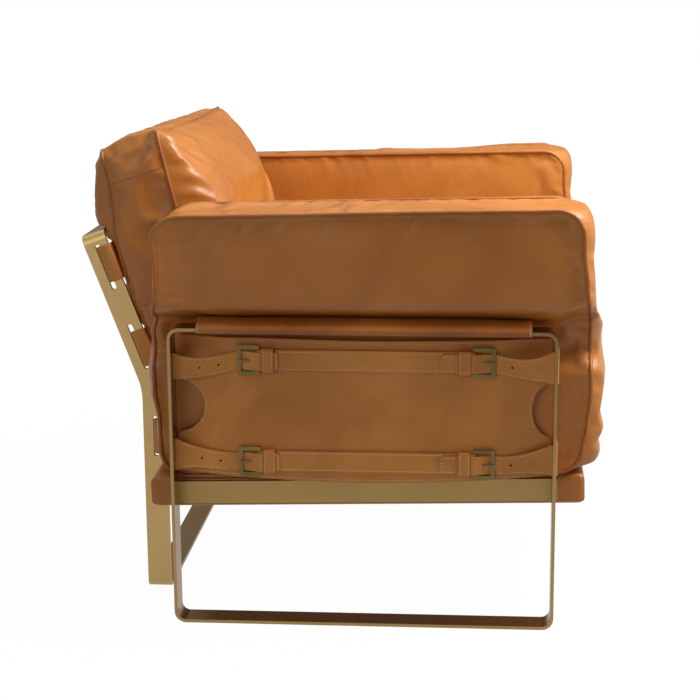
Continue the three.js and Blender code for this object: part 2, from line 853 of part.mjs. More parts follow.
// The tab with holes: looped round the bar, under the nose, over the heel and into the keeper
function strapTab(nose, tip, level) {
  const barHalf = tab.barWidth / 2;
  const half = strapWidth / 2;
  const top = Math.max(level.barMiddle + barHalf, level.middle + half);
  const bottom = Math.min(level.barMiddle - barHalf, level.middle - half);
  const holeRear = -wrapPlay;
  const holeFront = flatBar.thickness + wrapPlay;
  const holeInner = loopInner - wrapPlay;
  const holeOuter = slotInner + wrapPlay;
  const wall = strapThickness;
  const wrap = shapeOf(
    roundedRectangle(holeRear - wall, holeFront + wall, holeInner - wall, holeOuter + wall, wall, softArcSteps),
    [roundedRectangle(holeRear, holeFront, holeInner, holeOuter, wrapPlay, 1)],
  );
  const heelX = nose + heelPlace;
  const keeperStart = nose + buckle.length + keeper.gapToBuckle;
  const tipX = nose + buckle.length + tip;
  const inKeeper = tabInKeeper + wall / 2;
  const startX = holeFront + wall / 2;
  const startY = holeOuter + wall / 2;
  const run = nose - startX;
  const path = ribbon([
    [startX, startY],
    ...tabRunShares.map(([along, fall]) => [startX + run * along, lerp(startY, tabUnderNose, fall)]),
    [nose + buckle.noseBar / 2, tabUnderNose],
    ...tabClimbShares.map(([along, climb]) => [nose + heelPlace * along, lerp(tabUnderNose, tabOverHeel, climb)]),
    [heelX, tabOverHeel],
    [keeperStart, lerp(inKeeper, tabOverHeel, keeperClimbShare)],
    [keeperStart + keeper.width / 2, inKeeper],
    [keeperStart + keeper.width, inKeeper],
    [tipX, inKeeper],
  ], wall);
  const solid = join([upZ(wrap, bottom, top), upZ(shapeOf(path), bottom, top)]);
  const flareEnd = startX + run * flareEndShare;
  const flareMiddle = startX + run * flareBendShare;
  const upperEdge = new THREE.QuadraticBezierCurve(
    new THREE.Vector2(startX, level.barMiddle + barHalf),
    new THREE.Vector2(flareMiddle, level.middle + half),
    new THREE.Vector2(flareEnd, level.middle + half),
  );
  const lowerEdge = new THREE.QuadraticBezierCurve(
    new THREE.Vector2(startX, level.barMiddle - barHalf),
    new THREE.Vector2(flareMiddle, level.middle - half),
    new THREE.Vector2(flareEnd, level.middle - half),
  );
  const roundTip = rounded([
    [flareEnd, level.middle - half],
    [tipX, level.middle - half, half * tipRoundShare],
    [tipX, level.middle + half, half * tipRoundShare],
    [flareEnd, level.middle + half],
  ]).slice(1, -1);
  const outline = [
    new THREE.Vector2(holeRear - wall - overrun, level.barMiddle + barHalf),
    new THREE.Vector2(holeRear - wall - overrun, level.barMiddle - barHalf),
    ...lowerEdge.getPoints(arcSteps),
    ...roundTip,
    ...upperEdge.getPoints(arcSteps).reverse(),
  ];
  const cookie = acrossY(shapeOf(outline), holeInner - wall - overrun, slotOuter + overrun);
  const prongHole = nose + prongSlot.fromNose + prongSlot.width / 2;
  const slotCut = acrossY(
    shapeOf(roundedRectangle(
      nose + prongSlot.fromNose,
      heelX + prongSlot.pastHeel,
      level.middle - prongSlot.width / 2,
      level.middle + prongSlot.width / 2,
      prongSlot.width / 2,
      softArcSteps,
    )),
    holeInner,
    slotOuter + overrun,
  );
  const holes = Array.from({ length: tab.holeCount - 1 }, (unused, place) => {
    const x = prongHole - tab.holePitch * (place + 1);
    const drop = (level.barMiddle - level.middle) * Math.max(0, 1 - x / nose);
    const hole = circle(x, level.middle + drop, tab.holeDiameter / 2, fineArcSteps);
    return acrossY(shapeOf(hole), holeInner, slotOuter + overrun);
  });
  return cut(common(solid, cookie), [slotCut, ...holes]);
}

function keeperBody(start, middle) {
  const half = strapWidth / 2 + fit;
  const wall = keeper.sideLayer;
  const outer = roundedRectangle(
    keeperInner,
    keeperOuter,
    middle - half - wall,
    middle + half + wall,
    wall,
    softArcSteps,
  );
  const inner = roundedRectangle(
    keeperInner + keeper.thickness,
    keeperOuter - keeper.thickness,
    middle - half,
    middle + half,
    fit,
    1,
  );
  return alongX(shapeOf(outer, [inner]), start, start + keeper.width);
}

// The centre strap runs from buckle to buckle, with an eye round each heel pin and two keepers sewn on
function centreStrap(middle) {
  const rearHeel = noseFromLoopEnd.rear + heelPlace;
  const frontHeel = loop.length - noseFromLoopEnd.front - heelPlace;
  const low = middle - strapWidth / 2;
  const high = middle + strapWidth / 2;
  const band = block(rearHeel, frontHeel, strapInner, strapOuter, low, high);
  const eyes = [rearHeel, frontHeel].map((x) => {
    return upZ(shapeOf(circle(x, heelAxis, eyeRadius)), low, high);
  });
  const bores = [rearHeel, frontHeel].map((x) => {
    return upZ(shapeOf(circle(x, heelAxis, heelPinDiameter / 2 + fit)), low - overrun, high + overrun);
  });
  const prongGaps = [[rearHeel, -1], [frontHeel, 1]].map(([x, away]) => {
    const inner = x - away * (eyeRadius + fit);
    const outer = x + away * (eyeRadius + overrun);
    return block(
      Math.min(inner, outer),
      Math.max(inner, outer),
      strapInner - overrun,
      heelAxis + eyeRadius + overrun,
      middle - eyeSlotWidth / 2,
      middle + eyeSlotWidth / 2,
    );
  });
  const keepers = ['rear', 'front'].map((end) => {
    const start = noseFromLoopEnd[end] + buckle.length + keeper.gapToBuckle;
    return atEnd(keeperBody(start, middle), end);
  });
  return cut(join([band, ...eyes, ...keepers]), [...bores, ...prongGaps]);
}

straps.forEach(([levelName, level]) => {
  placePair(`strap_${levelName}`, centreStrap(level.middle), strapLeather);
  ['rear', 'front'].forEach((end) => {
    const nose = noseFromLoopEnd[end];
    const name = `${levelName}_${end}`;
    placePair(`tab_${name}`, atEnd(strapTab(nose, tabTip[end], level), end), strapLeather);
    placePair(`buckle_${name}`, atEnd(buckleFrame(nose, level.middle), end), agedBrass);
    placePair(`prong_${name}`, atEnd(bucklePronged(nose, level.middle), end), agedBrass);
  });
});

// Boxed cushions: the faces of a unit cube, cut into a grid at the given shares and moved into place

function boxedPad(gridShares, placeAt) {
  const points = [];
  const numbers = new Map();
  const numberOf = (steps) => {
    const key = steps.join();
    if (!numbers.has(key)) {
      numbers.set(key, points.length);
      points.push(placeAt(...steps.map((step, axis) => gridShares[axis][step])));
    }
    return numbers.get(key);
  };
  const index = [];
  gridShares.forEach((shares, axis) => {
    const [first, second] = [(axis + 1) % 3, (axis + 2) % 3];
    [0, shares.length - 1].forEach((side) => {
      const corner = (a, b) => {
        const steps = [];
        steps[axis] = side;
        steps[first] = a;
        steps[second] = b;
        return numberOf(steps);
      };
      for (let a = 0; a + 1 < gridShares[first].length; a += 1) {
        for (let b = 0; b + 1 < gridShares[second].length; b += 1) {
          const square = [corner(a, b), corner(a + 1, b), corner(a + 1, b + 1), corner(a, b + 1)];
          const [p, q, r, s] = side > 0 ? square : square.reverse();
          index.push(p, q, r, p, r, s);
        }
      }
    });
  });
  const positions = points.flatMap((point) => point.toArray());
  if (signedVolume(positions, index) < 0) {
    index.reverse();
  }
  const geometry = new THREE.BufferGeometry();
  geometry.setAttribute('position', new THREE.Float32BufferAttribute(positions, 3));
  geometry.setIndex(index);
  return geometry;
}

// How far a panel swells between its seams, from 0 at a seam to 1 in the middle
const swellPower = 4;

function fullnessAcross(share) {
  return 1 - Math.abs(2 * share - 1) ** swellPower;
}

function fullness(across, along) {
  return fullnessAcross(across) * fullnessAcross(along);
}

// A point of a rectangle that starts at zero, moved so that the rectangle's corners are round
function inRoundCorners(x, z, width, height, radius) {
  const a = 1 - Math.min(x, width - x) / radius;
  const b = 1 - Math.min(z, height - z) / radius;
  if (a <= 0 || b <= 0) {
    return [x, z];
  }
  const insetX = radius * (1 - a * Math.sqrt(1 - (b * b) / 2));
  const insetZ = radius * (1 - b * Math.sqrt(1 - (a * a) / 2));
  return [x < width / 2 ? insetX : width - insetX, z < height / 2 ? insetZ : height - insetZ];
}

// A smooth curve through rows of a place and a value
function along(table, place) {
  const next = table.findIndex(([end]) => place <= end);
  if (next <= 0) {
    return table.at(next)[1];
  }
  const [from, fromValue] = table[next - 1];
  const [to, toValue] = table[next];
  return lerp(fromValue, toValue, THREE.MathUtils.smoothstep(place, from, to));
}

// Arm cushions: a slab behind the side panel, with a roll above that hangs over the loop's top bar

const armSlabOuter = loopInner - wrapPlay - strapThickness - fit * 2;
const armBottom = seatRail.rearBottom + deckTop / Math.cos(seatTilt) + softGap;
const armShelf = loop.height + fit + sleeve.thickness + softGap;
const rollReach = armCushion.outerHalfSpan - armSlabOuter;
const slabHeight = armShelf - armBottom;
const rollHeight = armCushion.top - armShelf;

// The outer panel from the deck up: a share of its length, then shares of the slab's height,
// of the roll's reach beyond the slab and of the roll's height
const armOuterShares = [
  [0, 0, 0, 0],
  [0.53, 1, 0, 0],
  [0.56, 1, 0.08, 0.02],
  [0.6, 1, 0.5, 0.05],
  [0.64, 1, 0.85, 0.09],
  [0.68, 1, 0.97, 0.17],
  [0.78, 1, 1, 0.4],
  [1, 1, 1, 1],
];

// The end lines from the bottom up: a share of the height, then a share of how far the end spreads
const armRearShares = [[0, 0.5], [0.22, 0.6], [0.32, 0.94], [0.53, 1], [0.62, 0.5], [0.72, 0.05], [0.79, 0], [1, 0.4]];
const armFrontShares = [[0, 0.35], [0.11, 0.35], [0.18, 0.7], [0.32, 1], [0.56, 0.85], [0.72, 0.35], [0.88, 0], [1, 0]];
const armGridShares = [
  [0, 0.03, 0.07, 0.2, 0.5, 0.8, 0.93, 0.97, 1],
  [0, 0.15, 0.5, 0.85, 1],
  [0, 0.05, 0.1, 0.3, 0.53, 0.56, 0.6, 0.64, 0.68, 0.78, 0.9, 0.95, 1],
];

function armOuter(up) {
  const next = Math.max(1, armOuterShares.findIndex(([end]) => up <= end));
  const [from, ...low] = armOuterShares[next - 1];
  const [to, ...high] = armOuterShares[next];
  const [slab, reach, roll] = low.map((value, place) => lerp(value, high[place], (up - from) / (to - from)));
  return [armSlabOuter + rollReach * reach, armBottom + slabHeight * slab + rollHeight * roll];
}

function armPlace(forwards, outwards, up) {
  const [outerY, outerZ] = armOuter(up);
  const innerZ = lerp(armBottom, armCushion.top, up);
  let y = lerp(armCushion.innerHalfSpan, outerY, outwards);
  const height = armCushion.top - armBottom;
  const flatZ = lerp(innerZ, outerZ, outwards) - armBottom;
  const rear = armCushion.rear - armCushion.rearSpread * along(armRearShares, flatZ / height);
  const front = armCushion.front + armCushion.frontSpread * along(armFrontShares, flatZ / height);
  const length = front - rear;
  const [inX, inZ] = inRoundCorners(forwards * length, flatZ, length, height, armCushion.cornerRadius);
  let x = rear + inX;
  let z = armBottom + inZ;
  z += z < armShelf
    ? seatSlope * x * ((armShelf - z) / slabHeight)
    : seatSlope * (x - armCushion.topPlace) * ((z - armShelf) / rollHeight);
  if (forwards === 1) {
    x += armSwell.front * fullness(outwards, up);
  } else if (forwards === 0) {
    x -= armSwell.rear * fullness(outwards, up);
  } else if (up === 1) {
    z += armSwell.top * fullness(forwards, outwards);
  } else if (outwards === 1 && z > armShelf) {
    y += armSwell.outer * fullness(forwards, (z - armShelf) / rollHeight);
  } else if (outwards === 0 && z > armShelf) {
    y -= armSwell.inner * fullness(forwards, (z - armShelf) / rollHeight);
  }
  return new THREE.Vector3(x, y, z);
}

placePair('arm_cushion', boxedPad(armGridShares, armPlace), tanLeather);

// Seat cushion: boxed sides and a full top

const seatGridShares = [
  [0, 0.02, 0.05, 0.2, 0.5, 0.8, 0.95, 0.98, 1],
  [0, 0.5, 1],
  [0, 0.02, 0.05, 0.2, 0.5, 0.8, 0.95, 0.98, 1],
];

function seatPlace(forwards, up, across) {
  const length = seatCushion.front - seatCushion.rear;
  const width = 2 * seatCushion.halfWidth;
  const [inX, inY] = inRoundCorners(forwards * length, across * width, length, width, seatCushion.cornerRadius);
  let x = seatCushion.rear + inX;
  let z = seatBottom + seatCushion.boxHeight * up;
  if (forwards === 1) {
    x += seatSwell.front * fullness(across, up);
  } else if (up === 1) {
    z += seatSwell.top * fullness(forwards, across);
  }
  return new THREE.Vector3(x, inY - seatCushion.halfWidth, z);
}

place('seat_cushion', boxedPad(seatGridShares, seatPlace), tanLeather, seatGroup);

// Back cushion: it leans on the slings, fuller in front than behind, and its front top seam sags

const backFullPlaceShare = 0.3;
const backCrownPower = 2.4;
const backRearPowers = { up: 1.8, swell: 1.1 };
const backGridShares = [
  [0, 0.02, 0.05, 0.14, 0.3, 0.5, 0.7, 0.86, 0.95, 0.98, 1],
  [0, 0.5, 1],
  [0, 0.03, 0.08, 0.2, 0.35, 0.55, 0.75, 0.92, 0.97, 1],
];

// The front panel is fullest low down, where the sitter's back rests
function backFrontSwell(across, up) {
  const reach = up > backFullPlaceShare ? 1 - backFullPlaceShare : backFullPlaceShare;
  const away = Math.abs(up - backFullPlaceShare) / reach;
  return (1 - away ** backCrownPower) * fullnessAcross(across);
}

function backRearSwell(across, up) {
  const swell = Math.sin(Math.PI * up ** backRearPowers.up) ** backRearPowers.swell;
  return Math.max(0, swell || 0) * fullnessAcross(across);
}

function backPlace(across, forwards, up) {
  const width = 2 * backCushion.halfWidth;
  const sag = backCushion.topSag * Math.sin(Math.PI * across) * forwards;
  const height = lerp(backCushion.rearHeight, backCushion.frontHeight, forwards) - sag;
  const [inY, inZ] = inRoundCorners(across * width, up * height, width, height, backCushion.cornerRadius);
  let x = backCushion.gusset * forwards;
  let y = inY - backCushion.halfWidth;
  let z = inZ;
  if (forwards === 1) {
    x += backSwell.front * backFrontSwell(across, up);
  } else if (forwards === 0) {
    x -= backSwell.rear * backRearSwell(across, up);
  } else if (up === 1) {
    z += backSwell.top * fullness(across, forwards);
  } else if (up === 0) {
    z -= backSwell.bottom * fullness(across, forwards);
  } else if (across === 0) {
    y -= backSwell.ends * fullness(forwards, up);
  } else if (across === 1) {
    y += backSwell.ends * fullness(forwards, up);
  }
  return new THREE.Vector3(x, y, z);
}

place('back_cushion', boxedPad(backGridShares, backPlace), tanLeather, cushionGroup);

// The origin is the middle of the footprint, on the floor

chair.updateMatrixWorld(true);
const bounds = new THREE.Box3().setFromObject(chair, true);
chair.position.set(-(bounds.min.x + bounds.max.x) / 2, -(bounds.min.y + bounds.max.y) / 2, -bounds.min.z);

export default chair;
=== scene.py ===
# %% [markdown]
# # A leather lounge armchair on a brass frame
#
# The chair is a frame of satin brass flat bar with loose leather cushions. Leather panels, straps and buckles
# close its sides. This lesson dresses the finished frame, one piece at a time: metal keeps its shape and gets a
# finish, and everything soft is made anew, because leather is never as plain as the solid that stands for it.

# %% Load the frame
import math

import bmesh
import bpy
from mathutils import Matrix, Vector, noise


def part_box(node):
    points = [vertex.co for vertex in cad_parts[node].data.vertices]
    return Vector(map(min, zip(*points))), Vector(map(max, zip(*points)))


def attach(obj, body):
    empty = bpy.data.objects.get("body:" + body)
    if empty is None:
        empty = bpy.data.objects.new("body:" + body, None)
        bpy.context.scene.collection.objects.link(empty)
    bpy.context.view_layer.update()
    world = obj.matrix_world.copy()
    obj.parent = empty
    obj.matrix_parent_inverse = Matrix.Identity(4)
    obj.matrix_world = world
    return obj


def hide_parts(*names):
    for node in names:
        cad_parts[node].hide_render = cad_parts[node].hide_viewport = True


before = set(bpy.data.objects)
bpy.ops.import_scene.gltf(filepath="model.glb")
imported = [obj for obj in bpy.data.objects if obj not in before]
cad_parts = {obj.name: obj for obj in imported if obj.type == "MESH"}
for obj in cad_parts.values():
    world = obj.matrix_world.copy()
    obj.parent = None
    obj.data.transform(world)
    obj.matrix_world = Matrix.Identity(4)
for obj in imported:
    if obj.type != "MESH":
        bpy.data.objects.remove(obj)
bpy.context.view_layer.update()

# %% [markdown]
# All sizes are written in millimetres, as a maker would, and measured from a few places of the frame: X from the
# rear face of the side loops, Y from the middle of the chair and Z from the floor.

# %% Units and places
MM = 0.001
FRAME_BODY = "frame"

loop_low, loop_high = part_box("side_loop_R")
LOOP_REAR = loop_low[0]
LOOP_LENGTH = (loop_high[0] - loop_low[0]) / MM
LOOP_HEIGHT = loop_high[2] / MM
LOOP_OUTER = -loop_low[1] / MM
LOOP_INNER = -loop_high[1] / MM
SEAT_TILT = math.radians(1.45)
SEAT_BASE = 181.0


def at(x, y, z):
    """A place in metres, from millimetres forward of the loops' rear, left of the middle and above the floor."""
    return Vector((LOOP_REAR + x * MM, y * MM, z * MM))


def measured(co):
    """The same three numbers, read back from a point."""
    return (co.x - LOOP_REAR) / MM, co.y / MM, co.z / MM


def on_seat(x, y, z):
    """A place on the seat platform, from its own tilted directions."""
    world_x = x * math.cos(SEAT_TILT) - z * math.sin(SEAT_TILT)
    world_z = SEAT_BASE + x * math.sin(SEAT_TILT) + z * math.cos(SEAT_TILT)
    return at(world_x, y, world_z)


def put(name, data):
    """Makes an object of a mesh, a lamp or a curve, and puts it in the scene."""
    thing = bpy.data.objects.new(name, data)
    bpy.context.scene.collection.objects.link(thing)
    return thing


print(f"side loop {LOOP_LENGTH:.0f} by {LOOP_HEIGHT:.0f} mm, bars from {LOOP_INNER:.0f} to {LOOP_OUTER:.0f}")

# %% [markdown]
# The camera stands far off at the sitter's right, above the arms. Its lens and its shift give the photograph's
# flat perspective. The studio is a white room: the camera sees floor and world as plain white, while the lamps
# stay at a level that shows a colour as it is. The room that the brass mirrors is darker behind the camera.

# %% Camera
CAMERA_PLACE = (490.9, -2797.3, 1021.9)
CAMERA_DOWN = math.radians(11.75)
CAMERA_TURN = math.radians(3.11)
LENS = 83.7
SENSOR = 36.0
SHIFT = -0.08

camera_data = bpy.data.cameras.new("camera")
camera_data.lens = LENS
camera_data.sensor_width = SENSOR
camera_data.shift_x = SHIFT
camera_data.shift_y = SHIFT
camera = put("camera", camera_data)
camera.location = at(*CAMERA_PLACE)
camera.rotation_euler = (math.pi / 2 - CAMERA_DOWN, 0, CAMERA_TURN)
bpy.context.scene.camera = camera
bpy.context.scene.view_settings.view_transform = "Standard"


# %% Colour and node helpers
def linear(code):
    """Turns an sRGB hex colour into the linear numbers that Blender works in."""
    channels = [int(code[place:place + 2], 16) / 255 for place in (1, 3, 5)]
    bent = [value / 12.92 if value <= 0.04045 else ((value + 0.055) / 1.055) ** 2.4 for value in channels]
    return (*bent, 1.0)


def add_node(tree, kind, settings=None, links=None):
    """Adds a node, sets its properties or sockets, and links its inputs."""
    node = tree.nodes.new(kind)
    for name, value in (settings or {}).items():
        if isinstance(name, str) and hasattr(node, name):
            setattr(node, name, value)
        else:
            node.inputs[name].default_value = value
    for name, source in (links or {}).items():
        tree.links.new(source, node.inputs[name])
    return node


def new_material(name):
    """A material with an empty tree and its output node."""
    material = bpy.data.materials.new(name)
    material.use_nodes = True
    material.node_tree.nodes.clear()
    output = add_node(material.node_tree, "ShaderNodeOutputMaterial")
    return material, material.node_tree, output


def ramp(tree, value, low, high, at_low, at_high, links=None):
    """Turns a number that runs from low to high into one that runs from at_low to at_high."""
    settings = {"From Min": low, "From Max": high, "To Min": at_low, "To Max": at_high}
    return add_node(tree, "ShaderNodeMapRange", settings, {"Value": value, **(links or {})}).outputs[0]


def maths(tree, operation, first, second):
    """Works out one number from two."""
    return add_node(tree, "ShaderNodeMath", {"operation": operation}, {0: first, 1: second}).outputs[0]


def mixed(tree, share, first, second):
    """Mixes two hex colours by a share."""
    settings = {"data_type": "RGBA", 6: linear(first), 7: linear(second)}
    return add_node(tree, "ShaderNodeMix", settings, {0: share}).outputs[2]


def noise_over(tree, place, scale, detail, roughness=0.5, distortion=0.0):
    """A noise with so many cells to a metre."""
    settings = {"Scale": scale, "Detail": detail, "Roughness": roughness, "Distortion": distortion}
    return add_node(tree, "ShaderNodeTexNoise", settings, {"Vector": place}).outputs["Fac"]


def relief(tree, height, strength, distance, under=None):
    """Lets a height bend the light, on top of the relief under it."""
    links = {"Height": height} if under is None else {"Height": height, "Normal": under}
    return add_node(tree, "ShaderNodeBump", {"Strength": strength, "Distance": distance * MM}, links).outputs[0]


def surface(tree, output, settings, links):
    """Closes a material with its one shader."""
    shader = add_node(tree, "ShaderNodeBsdfPrincipled", settings, links)
    tree.links.new(shader.outputs[0], output.inputs["Surface"])


# %% Lamps
# Each lamp has its place, the place that it is aimed at and its size, all in metres, and its power in watts
LAMPS = {
    "key_softbox": ((1.3, -0.42, 1.75), (0.0, 0.15, 0.5), (0.9, 0.8), 39.0),
    "inner_softbox": ((0.5, -0.2, 1.55), (0.1, 0.35, 0.55), (0.5, 0.4), 6.0),
    "top_softbox": ((-0.3, 0.1, 2.3), (0.0, 0.0, 0.5), (1.6, 1.4), 8.0),
    "side_softbox": ((-1.2, -2.6, 1.5), (0.0, 0.0, 0.5), (0.9, 1.5), 8.5),
}
for name, (place, aim, size, power) in LAMPS.items():
    data = bpy.data.lights.new(name, "AREA")
    data.shape = "RECTANGLE"
    data.size, data.size_y = size
    data.energy = power
    lamp = put(name, data)
    lamp.location = place
    lamp.rotation_euler = (Vector(aim) - Vector(place)).to_track_quat("-Z", "Y").to_euler()

# %% White room
WHITE = linear("#FFFFFF")
ROOM_LIGHT = 0.2

# How bright the brass sees the room: from one direction to another along Y, and the brightness at both
CAMERA_SIDE = (-0.85, -0.1, 0.26, 1.0)
FAR_SIDE = (0.6, 0.97, 1.0, 0.15)

world = bpy.data.worlds.new("white_room")
world.use_nodes = True
bpy.context.scene.world = world
tree = world.node_tree
tree.nodes.clear()
ray = add_node(tree, "ShaderNodeLightPath").outputs
direction = add_node(tree, "ShaderNodeTexCoord").outputs["Generated"]
sideways = add_node(tree, "ShaderNodeSeparateXYZ", links={0: direction}).outputs["Y"]
mirrored = maths(tree, "MINIMUM", ramp(tree, sideways, *CAMERA_SIDE), ramp(tree, sideways, *FAR_SIDE))
brightness = maths(tree, "MAXIMUM", ray["Is Camera Ray"], mirrored)
room_light = add_node(tree, "ShaderNodeBackground", {"Color": WHITE, "Strength": ROOM_LIGHT}).outputs[0]
seen_white = add_node(tree, "ShaderNodeBackground", {"Color": WHITE}, {"Strength": brightness}).outputs[0]
seen_share = maths(tree, "MAXIMUM", ray["Is Camera Ray"], ray["Is Glossy Ray"])
room = add_node(tree, "ShaderNodeMixShader", links={0: seen_share, 1: room_light, 2: seen_white})
add_node(tree, "ShaderNodeOutputWorld", links={"Surface": room.outputs[0]})

# %% Floor
FLOOR_REACH = 12.0
FLOOR_GREY = "#B4B4B2"
FLOOR_WHITE = 1.04

# Close to the chair, the camera sees a little of the lit floor, which holds the shadow
CAMERA_SHARE = (0.7, 2.0, 0.94, 1.0)

# The brass sees a partly white floor, and near the camera a dark one in front that gets white towards the rear
FRONT_PATCH = (-0.95, -0.35, 0.95, 0.12)
MIRROR_SHARE = (-2.4, -1.4, 0.0, 0.6)

floor_mesh = bpy.data.meshes.new("studio_floor")
floor_form = bmesh.new()
bmesh.ops.create_grid(floor_form, x_segments=1, y_segments=1, size=FLOOR_REACH)
floor_form.to_mesh(floor_mesh)
floor_form.free()
floor = put("studio_floor", floor_mesh)

floor_paint, tree, output = new_material("white_studio_floor")
ray = add_node(tree, "ShaderNodeLightPath").outputs
lit_floor = add_node(tree, "ShaderNodeBsdfDiffuse", {"Color": linear(FLOOR_GREY)}).outputs[0]
white_floor = add_node(tree, "ShaderNodeEmission", {"Color": WHITE, "Strength": FLOOR_WHITE}).outputs[0]
place = add_node(tree, "ShaderNodeTexCoord").outputs["Object"]
from_chair = add_node(tree, "ShaderNodeVectorMath", {"operation": "LENGTH"}, {0: place}).outputs["Value"]
parts = add_node(tree, "ShaderNodeSeparateXYZ", links={0: place}).outputs
front_patch = ramp(tree, parts["X"], *FRONT_PATCH)
mirror_share = ramp(tree, parts["Y"], *MIRROR_SHARE, links={"To Min": front_patch})
to_camera = maths(tree, "MULTIPLY", ray["Is Camera Ray"], ramp(tree, from_chair, *CAMERA_SHARE))
to_mirror = maths(tree, "MULTIPLY", ray["Is Glossy Ray"], mirror_share)
shown_share = maths(tree, "MAXIMUM", to_camera, to_mirror)
shown = add_node(tree, "ShaderNodeMixShader", links={0: shown_share, 1: lit_floor, 2: white_floor})
tree.links.new(shown.outputs[0], output.inputs["Surface"])
floor_mesh.materials.append(floor_paint)

# %% [markdown]
# Satin brass is brass that was brushed along its length and lacquered. It stays a metal in the shader, so its
# colour comes from what it reflects; the brushing is a noise stretched a hundred times along the bar, and it
# blurs the reflection a little more in one streak than in the next.


# %% Brass finishes
STREAK = 100.0
HAZE = 14.0
GLOSSIER, DULLER = 0.05, 0.07


def brass(name, light, dark, roughness, streak, across_mm=0.9, bump=0.06, uneven=1.0):
    """A brushed metal, where streak is the axis that the brushing follows."""
    material, tree, output = new_material(name)
    place = add_node(tree, "ShaderNodeTexCoord").outputs["Object"]
    scale = [1.0 / (across_mm * MM)] * 3
    scale[streak] /= STREAK
    stretched = add_node(tree, "ShaderNodeMapping", {"Scale": scale}, {"Vector": place}).outputs[0]
    brushing = noise_over(tree, stretched, 1.0, 3.0)
    tint = mixed(tree, noise_over(tree, place, HAZE, 2.0), light, dark)
    dull = ramp(tree, brushing, 0.3, 0.7, roughness - GLOSSIER * uneven, roughness + DULLER * uneven)
    scratched = relief(tree, brushing, bump, 0.1)
    surface(tree, output, {"Metallic": 1.0}, {"Base Color": tint, "Roughness": dull, "Normal": scratched})
    return material


ALONG_X, ALONG_Y, ALONG_Z = 0, 1, 2
brass_loop = brass("satin_brass_loop", "#B2925E", "#9E8050", 0.25, ALONG_X, bump=0.005, uneven=0.25)
brass_rail = brass("satin_brass_rail", "#AC8D56", "#9C7E4E", 0.34, ALONG_X)
# The uprights are the same brass as the rail, but lighter here: painted light, for the brighter light that falls on
# them.
brass_upright_lit = brass("satin_brass_upright", "#CCAC72", "#BC9C66", 0.34, ALONG_Z)
brass_cross = brass("satin_brass_cross_bar", "#AC8D5C", "#9C7E4F", 0.34, ALONG_Y)
brass_aged = brass("aged_brass_buckle", "#A08A58", "#503F27", 0.34, ALONG_Z, across_mm=2.5, bump=0.4)
zinc = brass("zinc_plated_screw", "#B9BAB8", "#A4A5A4", 0.35, ALONG_Z, across_mm=2.0)

# %% [markdown]
# The leather is semi-aniline hide: dyed through, with a thin clear finish. The dye is never even, so a slow noise
# moves the tan towards brown and orange. Over that lie small pores, and fine creases that only show where light
# grazes them. The finish gives a soft, wide highlight.


# %% Leather finishes
CLOUD, CREASE, FOLD = 140.0, 22.0, 60.0
LEATHER_IOR = 1.5


def leather(name, pale, middle, deep, roughness, crease, pore=1.6):
    """Dyed hide, with clouds, creases, folds and pores of these sizes in millimetres."""
    material, tree, output = new_material(name)
    place = add_node(tree, "ShaderNodeTexCoord").outputs["Object"]
    cloud = noise_over(tree, place, 1.0 / (CLOUD * MM), 4.0, 0.55, 0.6)
    dye = add_node(tree, "ShaderNodeValToRGB", links={"Fac": cloud})
    colours = dye.color_ramp.elements
    colours[0].position = 0.32
    colours[0].color = linear(deep)
    colours[1].position = 0.70
    colours[1].color = linear(pale)
    colours.new(0.5).color = linear(middle)
    pores = add_node(tree, "ShaderNodeTexVoronoi", {"Scale": 1.0 / (pore * MM), "Randomness": 1.0}, {"Vector": place})
    creases = noise_over(tree, place, 1.0 / (CREASE * MM), 6.0, 0.62, 1.4)
    folds = noise_over(tree, place, 1.0 / (FOLD * MM), 2.0, 0.5, 0.8)
    grain = relief(tree, pores.outputs["Distance"], 0.25, 0.25)
    creased = relief(tree, creases, crease, 2.2, grain)
    slack = relief(tree, folds, crease, 7.0, creased)
    gloss = ramp(tree, creases, 0.35, 0.65, roughness - 0.06, roughness + 0.08)
    links = {"Base Color": dye.outputs["Color"], "Roughness": gloss, "Normal": slack}
    surface(tree, output, {"IOR": LEATHER_IOR}, links)
    return material


cushion_leather = leather("semi_aniline_tan_leather", "#C27A34", "#BA722C", "#B06A28", 0.36, 0.26)
piping_leather = leather("piping_leather", "#B46C26", "#A45E1C", "#8C4C14", 0.4, 0.1)
panel_leather = leather("side_panel_leather", "#D88E40", "#CC8236", "#BE762C", 0.5, 0.12)
strap_leather = leather("saddle_strap_leather", "#DE9444", "#CE8638", "#BE782E", 0.48, 0.1, pore=1.2)
sleeve_leather = leather("sleeve_leather", "#B06A28", "#A05A1C", "#8C4C14", 0.42, 0.12)


# %% Thread finish
TWIST = 0.8


def thread(name, light, dark):
    """Waxed linen thread, which is matt and a little fuzzy."""
    material, tree, output = new_material(name)
    place = add_node(tree, "ShaderNodeTexCoord").outputs["Object"]
    tint = mixed(tree, noise_over(tree, place, 1.0 / (TWIST * MM), 2.0), light, dark)
    surface(tree, output, {"Roughness": 0.8}, {"Base Color": tint})
    return material


cream_thread = thread("cream_thread", "#F4E6CC", "#D8BE96")

# %% Finish the metal nodes
FINISH_BY_PREFIX = {
    "side_loop": brass_loop,
    "seat_rail": brass_rail,
    "seat_cross_rail": brass_cross,
    "back_cross_rail": brass_cross,
    "back_foot_bar": brass_cross,
    "back_top_bar": brass_cross,
    "back_upright": brass_upright_lit,
    "buckle": brass_aged,
    "prong": brass_aged,
    "deck_screw": zinc,
    "back_rail_screw": zinc,
}
finished = 0
for node_name, node_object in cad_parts.items():
    for prefix, finish in FINISH_BY_PREFIX.items():
        if node_name.startswith(prefix):
            node_object.data.materials.clear()
            node_object.data.materials.append(finish)
            finished += 1
print("metal nodes finished:", finished)

